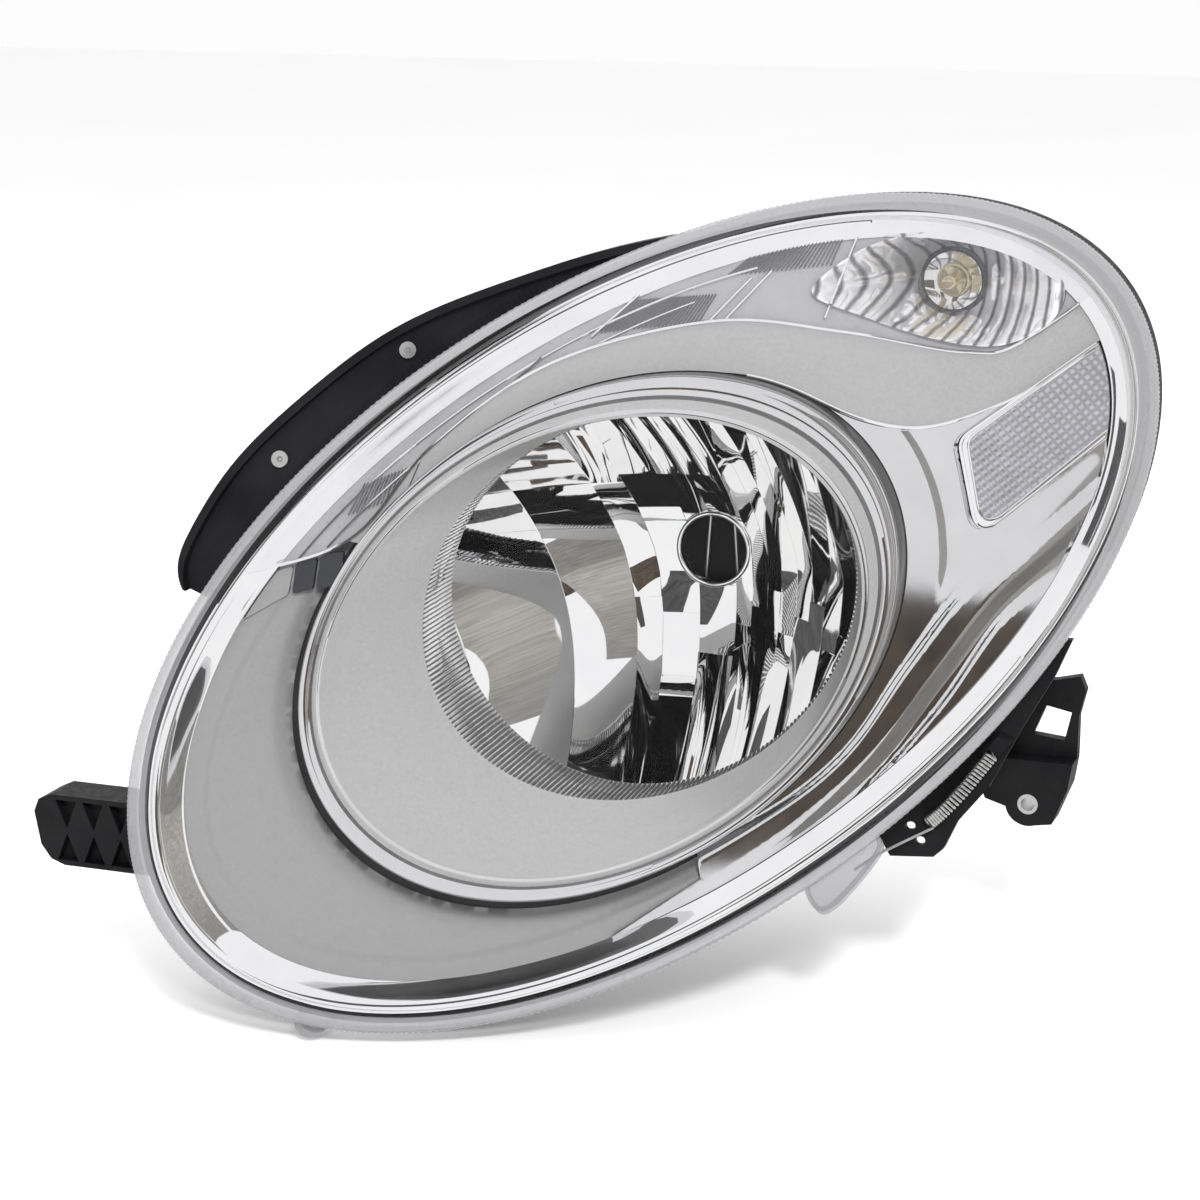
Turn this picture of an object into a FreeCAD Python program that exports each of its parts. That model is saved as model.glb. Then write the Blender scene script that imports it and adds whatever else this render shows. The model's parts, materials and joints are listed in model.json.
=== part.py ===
"""Car front headlight assembly, modelled off the car, in millimetres.

Frame: the origin is the bulb seat at the apex of the main reflector. -Y is forward, along the beam,
+X is outboard and +Z is up.  The lens rim, the bezel and the housing mouth all follow one swept
surface, y = surface_y(x, z), and "depth" below always means millimetres behind that surface.
"""

import FreeCAD, Part
import Sketcher
import math
import os

V = FreeCAD.Vector
doc = FreeCAD.newDocument("headlight")

# ---------------------------------------------------------------- driving dimensions

SIZES = {
    # swept surface
    "rim_y": -115.0,
    "sweep_x": 0.42,
    "sweep_z": 0.25,
    "bend_x": 0.0005,
    "bend_z": 0.0003,
    # lens outline, an ellipse
    "lens_x": -1.6,
    "lens_z": -6.8,
    "lens_tilt": 36.5,
    "lens_long": 237.5,
    "lens_short": 145.8,
    "lens_wall": 3.0,
    "lens_shoulder": 8.0,
    "lens_crown": 18.0,
    # housing
    "housing_wall": 2.8,
    "housing_inset": 5.0,
    "back_y": 8.0,
    "pod_back_y": 50.0,
    "collar_radius": 57.0,
    "collar_end_y": 30.0,
    "boot_gap": 0.4,
    "boot_wall": 2.6,
    "boot_end_y": 73.0,
    # main reflector
    "focal_length": 33.0,
    "reflector_radius": 101.0,
    "reflector_wall": 2.5,
    "seat_hole_radius": 17.0,
    "seat_bore_radius": 19.1,
    "seat_outer_radius": 27.0,
    "seat_start_y": 0.0,
    "seat_end_y": 8.0,
    # aiming points
    "aim_x": 60.0,
    "aim_y": -20.0,
    "aim_z": 56.0,
    "ball_radius": 5.0,
    "ball_play": 0.35,
    "pivot_play": 0.05,
    "socket_radius": 8.0,
    "rod_radius": 3.0,
    "rod_play": 0.08,
    "rod_length": 56.0,
    "bushing_radius": 6.4,
    "knob_radius": 11.0,
    "knob_start_y": 18.4,
    "knob_width": 9.0,
    # turn signal
    "turn_x": 107.5,
    "turn_z": 131.7,
    "turn_back_y": 28.0,
    "holder_radius": 15.0,
    "globe_radius": 12.5,
    "globe_y": 8.0,
    # bulb clip
    "clip_y": 10.6,
    "clip_pivot_z": -29.0,
    "clip_length": 50.0,
    "clip_wire": 0.9,
    # fixings
    "bolt_radius": 3.3,
    "sleeve_radius": 5.0,
    "boss_end_y": 22.0,
    # inner arm
    "arm_root_x": -205.0,
    "arm_tip_x": -273.5,
    "arm_top_z": -98.5,
    "arm_height": 34.0,
    "arm_front_y": -184.0,
    "arm_back_y": -162.0,
    "arm_wall": 2.4,
    # outer bracket
    "bracket_x": 156.0,
    "bracket_z": -90.0,
    "bracket_front_y": 34.0,
    "bracket_back_y": 40.0,
    "bracket_foot_x": 84.0,
}

sheet = doc.addObject("Spreadsheet::Sheet", "sizes")
for number, (alias, value) in enumerate(SIZES.items(), start=1):
    sheet.set(f"A{number}", alias)
    sheet.set(f"B{number}", str(value))
    sheet.setAlias(f"B{number}", alias)
doc.recompute()


def size(alias):
    """A driving dimension, read back from the sheet."""
    return float(sheet.get(alias))


# ---------------------------------------------------------------- swept surface and outlines

FAR = 420.0  # longer than the lamp in every direction
GRID = 13  # rows and columns of the net that carries a curved sheet
RING_POINTS = 32  # points that carry a closed outline laid on the swept surface


def surface_y(x, z):
    """Height of the swept surface along Y."""
    slope = size("sweep_x") * x + size("sweep_z") * z
    bend = size("bend_x") * x * x + size("bend_z") * z * z
    return size("rim_y") + slope + bend


def along_lens(x, z):
    """Coordinates along the lens outline's long and short axes."""
    tilt = math.radians(size("lens_tilt"))
    dx = x - size("lens_x")
    dz = z - size("lens_z")
    return dx * math.cos(tilt) + dz * math.sin(tilt), dz * math.cos(tilt) - dx * math.sin(tilt)


def lens_front_depth(x, z):
    """Depth of the lens's front face: a shoulder at the rim and a crown in the middle."""
    long, short = along_lens(x, z)
    rho2 = (long / size("lens_long")) ** 2 + (short / size("lens_short")) ** 2
    return -size("lens_shoulder") - size("lens_crown") * (1.0 - rho2 * rho2)


def flat_depth(depth):
    """A constant depth, as a function of place."""
    return lambda x, z: depth


class Oval:
    """An ellipse seen from the front: centre, tilt of its long axis in degrees, and half axes."""

    def __init__(self, x, z, tilt, long, short):
        self.x = x
        self.z = z
        self.tilt = math.radians(tilt)
        self.long = long
        self.short = short

    def grown(self, margin):
        """The same oval, larger all round by the margin."""
        return Oval(self.x, self.z, math.degrees(self.tilt), self.long + margin, self.short + margin)

    def point(self, turn):
        """Point of the outline towards the direction that is turn radians from +X."""
        phase = turn - self.tilt
        along = self.long * math.cos(phase)
        across = self.short * math.sin(phase)
        x = self.x + along * math.cos(self.tilt) - across * math.sin(self.tilt)
        z = self.z + along * math.sin(self.tilt) + across * math.cos(self.tilt)
        return x, z

    def wire(self, y=0.0):
        """The outline in the plane at y."""
        axis = V(math.cos(self.tilt), 0, math.sin(self.tilt))
        side = V(-math.sin(self.tilt), 0, math.cos(self.tilt))
        centre = V(self.x, y, self.z)
        curve = Part.Ellipse(centre + axis * self.long, centre + side * self.short, centre)
        return Part.Wire([curve.toShape()])

    def on_surface(self, depth):
        """The outline laid on the swept surface; depth is a function of the turn."""
        points = []
        for step in range(RING_POINTS):
            turn = 2 * math.pi * step / RING_POINTS
            x, z = self.point(turn)
            points.append(V(x, surface_y(x, z) + depth(turn), z))
        curve = Part.BSplineCurve()
        curve.interpolate(Points=points, PeriodicFlag=True)
        return curve.toShape()


LENS = Oval(size("lens_x"), size("lens_z"), size("lens_tilt"), size("lens_long"), size("lens_short"))
RING_OUTER = Oval(-14.0, -15.0, 35.5, 130.5, 105.5)
RING_LIP = Oval(-15.6, -17.5, 28.8, 114.8, 95.0)
RING_HOLE = Oval(-1.9, -4.1, 17.3, 90.9, 84.9)
FLUTE_END = Oval(-2.4, -3.6, 17.3, 90.4, 84.4)


def curve_wire(points, y=0.0, closed=False):
    """A smooth outline through front-view points, in the plane at y."""
    curve = Part.BSplineCurve()
    curve.interpolate(Points=[V(x, y, z) for x, z in points], PeriodicFlag=closed)
    return curve.toShape()


def closed_region(smooth, corners, y=0.0):
    """A flat region bounded by a smooth curve and then straight lines through the corners."""
    edge = curve_wire(smooth, y)
    path = [smooth[-1]] + corners + [smooth[0]]
    lines = []
    for start, end in zip(path, path[1:]):
        lines.append(Part.LineSegment(V(start[0], y, start[1]), V(end[0], y, end[1])).toShape())
    return Part.Wire([edge] + lines)


def prism(wire, start_y=-FAR, end_y=FAR):
    """The wire's region, as a straight bar along Y."""
    face = Part.Face(wire)
    face.translate(V(0, start_y - face.BoundBox.YMin, 0))
    return face.extrude(V(0, end_y - start_y, 0))


LONG = FAR + 20.0  # a bar that cuts another is longer than it
LONGER = FAR + 40.0


def polygon_prism(corners, reach=LONG):
    """A straight bar along Y with straight sides."""
    return prism(Part.makePolygon([V(x, 0, z) for x, z in corners + corners[:1]]), -reach, reach)


def curved_sheet(depth):
    """A wide face at a depth, which is a function of place."""
    rows = []
    for column in range(GRID):
        x = -290.0 + 580.0 * column / (GRID - 1)
        row = []
        for line in range(GRID):
            z = -250.0 + 480.0 * line / (GRID - 1)
            row.append(V(x, surface_y(x, z) + depth(x, z), z))
        rows.append(row)
    patch = Part.BSplineSurface()
    patch.interpolate(rows)
    return patch.toShape()


def slab(depth, thickness):
    """All that lies between a depth and thickness millimetres behind it."""
    return curved_sheet(depth).extrude(V(0, thickness, 0))


def panel(region, depth, thickness):
    """A sheet of constant thickness at a constant depth, cut to a region."""
    return region.common(slab(flat_depth(depth), thickness))


def ring_solid(profile):
    """A closed ring. profile lists (oval, depth) corners of its section, in order round the section."""
    curves = []
    for oval, depth in profile:
        level = depth if callable(depth) else (lambda turn, value=depth: value)
        curves.append(oval.on_surface(level))
    faces = []
    for first, second in zip(curves, curves[1:] + curves[:1]):
        faces.append(Part.makeRuledSurface(first, second))
    shell = Part.makeShell(faces)
    shell.sewShape()
    solid = Part.makeSolid(shell)
    if solid.Volume < 0:
        solid.reverse()
    return solid


def cylinder(radius, start, end, x=0.0, z=0.0):
    """A bar along Y."""
    return Part.makeCylinder(radius, end - start, V(x, start, z), V(0, 1, 0))


def tube(outer, inner, start, end, x=0.0, z=0.0):
    """A hollow bar along Y."""
    return cylinder(outer, start, end, x, z).cut(cylinder(inner, start - 1, end + 1, x, z))


def box(low, high):
    """A block between two corners."""
    return Part.makeBox(high[0] - low[0], high[1] - low[1], high[2] - low[2], V(*low))


def largest_solid(shape):
    """The biggest solid of a shape, which drops slivers left by a cut."""
    return max(shape.Solids, key=lambda solid: solid.Volume)


PARTS = []  # every sub-part, in the order made


def keep(label, shape):
    """A sub-part whose surfaces are free-form."""
    feature = doc.addObject("Part::Feature", label)
    feature.Shape = shape
    feature.Label = label
    feature.Placement = FreeCAD.Placement()
    PARTS.append(feature)
    return feature


def origin_plane(body, role):
    """One of the body's own origin planes."""
    return next(item for item in body.Origin.OriginFeatures if item.Role == role)


def add_loop(sketch, corners):
    """One closed run of straight lines. corners lists (across, up) pairs of spreadsheet formulas."""
    first = sketch.GeometryCount
    values = [V(sheet.evalExpression(across), sheet.evalExpression(up), 0) for across, up in corners]
    count = len(values)
    for index in range(count):
        sketch.addGeometry(Part.LineSegment(values[index], values[(index + 1) % count]), False)
    for index in range(count):
        following = first + (index + 1) % count
        sketch.addConstraint(Sketcher.Constraint("Coincident", first + index, 2, following, 1))
    for index, texts in enumerate(corners):
        for kind, text, value in zip(("DistanceX", "DistanceY"), texts, values[index]):
            if abs(value) < 1e-9:
                axis = -2 if kind == "DistanceX" else -1
                sketch.addConstraint(Sketcher.Constraint("PointOnObject", first + index, 1, axis))
                continue
            number = sketch.addConstraint(Sketcher.Constraint(kind, -1, 1, first + index, 1, value))
            sketch.setExpression(f"Constraints[{number}]", text)


def add_circle(sketch, across, up, radius):
    """One circle, with its place and radius as spreadsheet formulas."""
    first = sketch.GeometryCount
    x, z, r = (float(sheet.evalExpression(text)) for text in (across, up, radius))
    sketch.addGeometry(Part.Circle(V(x, z, 0), V(0, 0, 1), r), False)
    for kind, text, value in (("DistanceX", across, x), ("DistanceY", up, z)):
        if abs(value) < 1e-9:
            axis = -2 if kind == "DistanceX" else -1
            sketch.addConstraint(Sketcher.Constraint("PointOnObject", first, 3, axis))
            continue
        number = sketch.addConstraint(Sketcher.Constraint(kind, -1, 1, first, 3, value))
        sketch.setExpression(f"Constraints[{number}]", text)
    number = sketch.addConstraint(Sketcher.Constraint("Radius", first, r))
    sketch.setExpression(f"Constraints[{number}]", radius)


def outline_sketch(body, name, loops, role="XY_Plane"):
    """A sketch of closed loops; a loop of three texts is a circle."""
    sketch = body.newObject("Sketcher::SketchObject", name)
    sketch.AttachmentSupport = [(origin_plane(body, role), "")]
    sketch.MapMode = "FlatFace"
    for loop in loops:
        if isinstance(loop[0], str):
            add_circle(sketch, *loop)
        else:
            add_loop(sketch, loop)
    sketch.Visibility = False
    return sketch


def block_outline(left, right, bottom, top):
    """Four corners of an upright rectangle, from formulas."""
    return [(left, bottom), (right, bottom), (right, top), (left, top)]


def front_pad(body, name, loops, front, back):
    """Material between two Y values, with its outline seen from the front."""
    sketch = outline_sketch(body, name + "_outline", loops, "XZ_Plane")
    sketch.setExpression("AttachmentOffset.Base.z", f"-({back})")
    feature = body.newObject("PartDesign::Pad", name)
    feature.Profile = sketch
    feature.setExpression("Length", f"({back}) - ({front})")
    return feature


def front_pocket(body, name, loops, front, back):
    """A pocket between two Y values, cut forwards from its back plane."""
    sketch = outline_sketch(body, name + "_outline", loops, "XZ_Plane")
    sketch.setExpression("AttachmentOffset.Base.z", f"-({back})")
    doc.recompute()
    before = body.Shape.Volume
    feature = body.newObject("PartDesign::Pocket", name)
    feature.Profile = sketch
    feature.setExpression("Length", f"({back}) - ({front})")
    feature.Reversed = True
    doc.recompute()
    if body.Shape.Volume > before - 1.0:
        raise RuntimeError(f"{name} cut nothing")
    return feature


def new_body(label):
    """A PartDesign body that is a sub-part of its own."""
    body = doc.addObject("PartDesign::Body", label)
    body.Label = label
    PARTS.append(body)
    return body


def turned(label, profile, place):
    """A turned sub-part. profile lists (radius, height) formulas; the axis of turning lies along Y.

    place lists the formulas of the body's X, Y and Z position.
    """
    body = new_body(label)
    turn = body.newObject("PartDesign::Revolution", label + "_turn")
    sketch = outline_sketch(body, label + "_profile", [profile])
    turn.Profile = sketch
    turn.ReferenceAxis = (sketch, ["V_Axis"])
    turn.Angle = 360.0
    body.Tip = turn
    for axis, text in zip("xyz", place):
        body.setExpression(f"Placement.Base.{axis}", text)
    return body


def grip_flutes(body, name, radius, distance, count, depth):
    """A ring of round flutes cut into a knob's edge, about the body's Y axis, from its base upwards."""
    sketch = outline_sketch(body, name + "_flute", [(distance, "0", radius)], "XZ_Plane")
    doc.recompute()
    before = body.Shape.Volume
    pocket = body.newObject("PartDesign::Pocket", name + "_pocket")
    pocket.Profile = sketch
    pocket.setExpression("Length", depth)
    pattern = body.newObject("PartDesign::PolarPattern", name + "_pattern")
    pattern.Originals = [pocket]
    turn_axis = next(item for item in body.Origin.OriginFeatures if item.Role == "Y_Axis")
    pattern.Axis = (turn_axis, [""])
    pattern.Angle = 360
    pattern.Occurrences = count
    body.Tip = pattern
    doc.recompute()
    if body.Shape.Volume > before - 10.0:
        raise RuntimeError(f"{name} cut nothing")


def group(label, shapes):
    """One node that holds several separate solids."""
    return keep(label, Part.makeCompound(shapes))


def screw(place, direction, length, shank=1.8, head=3.8):
    """A pan-head screw. place is the seat under its head and direction the way its shank goes."""
    way = V(*direction)
    seat = V(*place)
    body = Part.makeCylinder(shank, length, seat, way)
    dome = Part.makeCylinder(head, 2.4, seat, way * -1)
    slot_depth = 1.2
    socket = Part.makeCone(1.5, 0.6, slot_depth + 0.2, seat - way * 2.5, way)
    return body.fuse(dome).cut(socket).removeSplitter()


# ---------------------------------------------------------------- housing


def housing_volume(margin):
    """The housing's outside, or its inside when margin is its wall."""
    inset = size("housing_inset") + margin
    levels = [  # depth behind the swept plane, extra inset along and across, shift towards outboard
        (-20.0, 0.0, 0.0, 0.0),
        (30.0, 0.0, 0.0, 0.0),
        (75.0, 20.0, 10.0, 3.0),
        (125.0, 64.0, 26.0, 20.0),
        (190.0, 120.0, 48.0, 40.0),
    ]
    tilt = math.radians(size("lens_tilt"))
    wires = []
    for depth, along, across, shift in levels:
        oval = Oval(
            size("lens_x") + shift * math.cos(tilt),
            size("lens_z") + shift * math.sin(tilt),
            size("lens_tilt"),
            size("lens_long") - inset - along,
            size("lens_short") - inset - across,
        )
        wires.append(oval.wire(depth))
    bowl = Part.makeLoft(wires, True, False)
    shear = FreeCAD.Matrix()
    shear.A21 = size("sweep_x")
    shear.A23 = size("sweep_z")
    shear.A24 = size("rim_y")
    bowl = bowl.transformGeometry(shear)
    main = bowl.common(box((-FAR, -FAR, -FAR), (FAR, size("back_y") - margin, FAR)))
    pod = Oval(150.0, 112.0, size("lens_tilt") + 90.0, 92.0 - margin, 80.0 - margin)
    pod = prism(pod.wire(), -100.0, size("pod_back_y") - margin)
    return main.fuse(bowl.common(pod))


def rear_housing():
    """Deep black moulding with the glue channel, rear collar, adjuster bosses and mounting lugs."""
    wall = size("housing_wall")
    shell = housing_volume(0.0).cut(housing_volume(wall))
    channel = ring_solid([
        (LENS.grown(-1.5), 3.0),
        (LENS.grown(-4.0), 3.0),
        (LENS.grown(-4.0), 12.5),
        (LENS.grown(-10.0), 12.5),
        (LENS.grown(-10.0), 3.0),
        (LENS.grown(-12.5), 3.0),
        (LENS.grown(-12.5), 15.5),
        (LENS.grown(-1.5), 15.5),
    ])
    shell = shell.common(slab(flat_depth(14.0), FAR))
    body = shell.fuse(channel)
    back = size("back_y")
    collar = size("collar_radius")
    body = body.fuse(cylinder(collar, back - wall, size("collar_end_y")))
    body = body.cut(cylinder(collar - wall, back - 2 * wall, size("collar_end_y") + 1))
    body = body.fuse(tube(collar + 1.6, collar - 1, size("collar_end_y") - 3, size("collar_end_y")))
    turn = (size("turn_x"), size("turn_z"))
    pod_back = size("pod_back_y")
    body = body.fuse(cylinder(size("holder_radius") + 4.0, pod_back - wall, pod_back + 6, *turn))
    body = body.cut(cylinder(size("holder_radius") + 1.0, pod_back - 2 * wall, pod_back + 7, *turn))
    for x, z in ADJUSTERS:
        body = body.fuse(cylinder(9.5, back - wall, back + 8, x, z))
        body = body.cut(cylinder(6.5, back - 2 * wall, back + 9, x, z))
    body = body.fuse(cylinder(8.0, back - wall, back + 5, *PIVOT))
    body = body.cut(cylinder(4.0, back - 2 * wall, back + 6, *PIVOT))
    for x, z in BREATHER:
        body = body.fuse(tube(7.0, 4.5, back - 1, back + 10, x, z))
        body = body.cut(cylinder(4.5, back - 2 * wall, back, x, z))
    for x, z in REAR_FIXINGS:
        body = body.fuse(cylinder(size("sleeve_radius") + 4.0, back - wall, size("boss_end_y"), x, z))
        body = body.cut(cylinder(size("sleeve_radius") + 0.02, back, size("boss_end_y") + 1, x, z))
    body = body.fuse(lower_strap()).fuse(panel(polygon_prism(SPRING_POST), 4.0, 12.0))
    arm_pad = box((size("arm_root_x") + 3.0, -182.0, -131.0), (-176.0, -146.0, -99.0))
    body = body.fuse(arm_pad.cut(housing_volume(wall)))
    body = body.cut(box((size("arm_tip_x"), -184.2, -132.7), (size("arm_root_x") + 3.0, -145.8, -98.3)))
    for x, z in SHROUD_SCREWS:
        body = body.fuse(shroud_tab(x, z))
    for place, way in ARM_SCREWS + SHROUD_SEATS + BRACKET_SEATS:
        body = body.cut(Part.makeCylinder(SCREW_HOLE, 16.0, V(*place), V(*way)))
    return body


def lower_strap():
    """Strap outside the lower outboard edge, which ends in a foot with two round holes."""
    strap = panel(polygon_prism(STRAP), 14.0, 4.5)
    strap = strap.cut(prism(LENS.grown(-6.5).wire(), -LONG, LONG))
    for x, z in STRAP_HOLES:
        strap = strap.cut(cylinder(2.2, -90.0, -30.0, x, z))
    return strap


def surface_normal(x, z):
    """Direction square to the swept surface, pointing backwards."""
    way = V(-size("sweep_x") - 2 * size("bend_x") * x, 1.0, -size("sweep_z") - 2 * size("bend_z") * z)
    return way.normalize()


def shroud_tab(x, z):
    """Tab of the housing behind a shroud screw, reaching in to the glue channel."""
    tilt = math.radians(size("lens_tilt"))
    corners = []
    for along, across in ((-8.0, 6.0), (8.0, 6.0), (8.0, -16.0), (-8.0, -16.0)):
        px = x + along * math.cos(tilt) - across * math.sin(tilt)
        pz = z + along * math.sin(tilt) + across * math.cos(tilt)
        corners.append((px, pz))
    return panel(polygon_prism(corners), SHROUD_DEPTH + SHROUD_WALL + 0.3, 4.0)


SHROUD_DEPTH = 7.0
SHROUD_WALL = 3.0
SCREW_HOLE = 1.85
REAR_FIXINGS = [(-30.0, 104.0), (-40.0, -75.0)]
STRAP = [
    (178.0, -26.0), (172.0, -42.0), (160.0, -65.0), (148.0, -91.0), (136.0, -106.0), (131.0, -118.0),
    (127.0, -121.5), (109.0, -120.0), (95.0, -95.0), (160.0, -25.0),
]
STRAP_HOLES = [(116.5, -107.0), (121.0, -114.0)]
SPRING_POST = [(148.0, -70.8), (151.7, -65.7), (157.2, -69.5), (153.1, -74.7)]
SHROUD_SCREWS = [(-160.0, 60.0), (-109.0, 108.0)]
SHROUD_SEATS = [
    ((x, surface_y(x, z) + SHROUD_DEPTH, z), tuple(surface_normal(x, z))) for x, z in SHROUD_SCREWS
]
ARM_SCREWS = [((size("arm_root_x"), -154.0, z), (1.0, 0.0, 0.0)) for z in (-107.0, -123.0)]
BRACKET_SEATS = [((95.0, size("back_y") + 4.2, z), (0.0, -1.0, 0.0)) for z in (-52.0, -68.0)]
ADJUSTERS = [
    (size("aim_x"), -size("aim_z")),
    (-size("aim_x"), size("aim_z")),
]
PIVOT = (size("aim_x"), size("aim_z"))
BREATHER = [(8.0, 84.0)]

keep("rear_housing", rear_housing())


def front_lens():
    """Clear crowned lens with a thick rim, a tongue for the glue channel and two small lugs."""
    wall = size("lens_wall")
    outside = prism(LENS.wire()).common(slab(lens_front_depth, FAR))
    outside = outside.cut(slab(flat_depth(2.0), FAR))
    hollow = prism(LENS.grown(-wall - 1.5).wire())
    hollow = hollow.common(slab(lambda x, z: lens_front_depth(x, z) + wall, FAR))
    body = outside.cut(hollow)
    tongue = ring_solid([
        (LENS.grown(-4.4), 0.0),
        (LENS.grown(-9.0), 0.0),
        (LENS.grown(-8.4), 11.5),
        (LENS.grown(-5.6), 11.5),
    ])
    body = body.fuse(tongue)
    for corners in (LOWER_LUG, OUTER_LUG):
        body = body.fuse(panel(polygon_prism(corners), -1.5, 3.0))
    return body


LOWER_LUG = [(-134.0, -184.0), (-131.0, -195.0), (-123.0, -195.0), (-117.0, -183.0)]
OUTER_LUG = [(80.0, -124.0), (84.5, -140.0), (94.0, -136.0), (109.0, -113.0), (98.0, -105.0)]

keep("front_lens", front_lens())
keep("lens_sealant", ring_solid([
    (LENS.grown(-4.3), 11.7),
    (LENS.grown(-9.7), 11.7),
    (LENS.grown(-9.7), 12.3),
    (LENS.grown(-4.3), 12.3),
]))

# ---------------------------------------------------------------- bezel

WING_TOP = [
    (-176.0, 9.0), (-124.0, 27.0), (-92.0, 68.0), (-45.0, 104.0), (20.0, 121.5),
    (75.0, 116.0), (125.0, 106.2), (150.0, 111.0), (200.0, 150.0),
]
WING_FOOT = [
    (15.0, 99.5), (35.0, 98.0), (55.0, 92.0), (85.0, 78.0), (110.0, 73.5),
    (135.0, 80.0), (160.0, 93.0), (210.0, 130.0),
]
REFLEX_CORNERS = [(125.6, 68.0), (137.5, 23.5), (194.0, 72.5), (188.0, 115.5)]
PANEL_WALL = 2.0
RING_GAP = 0.5


def reflex_prism(margin):
    """The side reflector's rounded outline, grown by a margin."""
    centre_x = sum(x for x, z in REFLEX_CORNERS) / 4.0
    centre_z = sum(z for x, z in REFLEX_CORNERS) / 4.0
    corners = []
    for x, z in REFLEX_CORNERS:
        reach = math.hypot(x - centre_x, z - centre_z)
        grow = 1.0 + margin / reach
        corners.append((centre_x + (x - centre_x) * grow, centre_z + (z - centre_z) * grow))
    bar = polygon_prism(corners)
    along_y = [edge for edge in bar.Edges if edge.BoundBox.YLength > FAR]
    return bar.makeFillet(7.0, along_y)


inside_trim = prism(LENS.grown(-14.0).wire())
ring_bar = prism(RING_OUTER.grown(RING_GAP).wire(), -LONGER, LONGER)
wing_space = prism(closed_region(WING_TOP, [(260.0, 230.0), (-260.0, 230.0), (-260.0, 9.0)]), -LONG, LONG)
side_space = prism(closed_region(WING_FOOT, [(260.0, 130.0), (260.0, -260.0), (15.0, -260.0)]), -LONG, LONG)
lower_space = polygon_prism([
    (-260.0, -20.0), (-176.0, 8.0), (-124.0, 26.0), (0.0, 0.0), (50.0, -60.0), (75.0, -190.0),
    (75.0, -260.0), (-260.0, -260.0),
])

keep("outer_trim", ring_solid([
    (LENS.grown(-8.5), -3.5),
    (LENS.grown(-13.5), -3.5),
    (LENS.grown(-20.5), 6.0),
    (LENS.grown(-20.5), 8.0),
    (LENS.grown(-18.6), 8.0),
    (LENS.grown(-12.6), -1.3),
    (LENS.grown(-8.5), -1.3),
]))
lower_region = inside_trim.common(lower_space).cut(ring_bar)
keep("lower_bezel", largest_solid(panel(lower_region, 8.3, PANEL_WALL)))

narrow_trim = prism(LENS.grown(-21.0).wire())
middle = narrow_trim.cut(ring_bar).cut(lower_space).cut(reflex_prism(RING_GAP))
keep("upper_bezel", largest_solid(panel(middle.cut(wing_space).cut(side_space), 1.0, PANEL_WALL)))
keep("side_bezel", largest_solid(panel(middle.common(side_space), 4.0, PANEL_WALL)))

RING_DEPTH = 12.0
keep("bezel_ring", ring_solid([
    (RING_OUTER, -RING_DEPTH),
    (RING_LIP, -RING_DEPTH),
    (RING_HOLE, 8.0),
    (RING_HOLE.grown(2.2), 8.0),
    (RING_LIP.grown(2.2), -RING_DEPTH + 2.2),
    (RING_OUTER.grown(-2.2), -RING_DEPTH + 2.2),
    (RING_OUTER.grown(-2.2), 10.0),
    (RING_OUTER, 10.0),
]))


def flute_depth(turn):
    """Rear edge of the fluted ring: deepest at the lower inboard side, shallow opposite."""
    nearness = 0.5 + 0.5 * math.cos(turn - math.radians(215.0))
    return 9.6 + 40.0 * nearness ** 2.5


keep("fluted_ring", ring_solid([
    (RING_HOLE, 8.4),
    (FLUTE_END, flute_depth),
    (FLUTE_END.grown(1.8), flute_depth),
    (RING_HOLE.grown(1.8), 8.4),
]))

keep("reflex_reflector", largest_solid(panel(reflex_prism(0.0).common(narrow_trim), -1.0, 3.0)))

# ---------------------------------------------------------------- turn signal

TURN = (size("turn_x"), size("turn_z"))
TURN_FLOOR = [(25.0, 138.0), (42.0, 127.0), (66.0, 122.0), (92.0, 115.5), (112.0, 111.0), (128.0, 110.0),
              (144.0, 112.5), (158.0, 120.0)]
TURN_ROOF = [LENS.grown(-24.5).point(math.radians(turn)) for turn in (40.0, 50.0, 62.0, 74.0, 86.0)]


def turn_outline(factor, depth):
    """Mouth of the turn-signal reflector on the swept plane, scaled about the bulb."""
    points = []
    for x, z in TURN_FLOOR + TURN_ROOF:
        px = TURN[0] + (x - TURN[0]) * factor
        pz = TURN[1] + (z - TURN[1]) * factor
        y = size("rim_y") + size("sweep_x") * px + size("sweep_z") * pz + depth
        points.append(V(px, y, pz))
    curve = Part.BSplineCurve()
    curve.interpolate(Points=points, PeriodicFlag=True)
    return Part.Wire([curve.toShape()])


def round_wire(radius, y, x, z):
    """A circle in the plane at y."""
    return Part.Wire([Part.Circle(V(x, y, z), V(0, 1, 0), radius).toShape()])


def turn_signal_reflector():
    """Bright bucket that narrows from its mouth to a round back plate with the bulb hole."""
    back = size("turn_back_y")
    outside = Part.makeLoft([turn_outline(1.04, 18.0), round_wire(24.0, back, *TURN)], True, False)
    inside = Part.makeLoft([turn_outline(1.0, 17.0), round_wire(22.0, back - 2.0, *TURN)], True, False)
    mouth = Part.makeLoft([turn_outline(1.0, 0.0), turn_outline(1.0, 17.5)], True, False)
    body = outside.cut(inside).cut(mouth).common(housing_volume(size("housing_wall") + 0.4))
    return body.cut(cylinder(14.0, back - 10.0, back + 5.0, *TURN))


keep("turn_signal_reflector", largest_solid(turn_signal_reflector()))
strip_region = prism(LENS.grown(-9.8).wire()).common(wing_space)
keep("turn_signal_inner_lens", largest_solid(panel(strip_region, -6.2, PANEL_WALL)))

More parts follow.
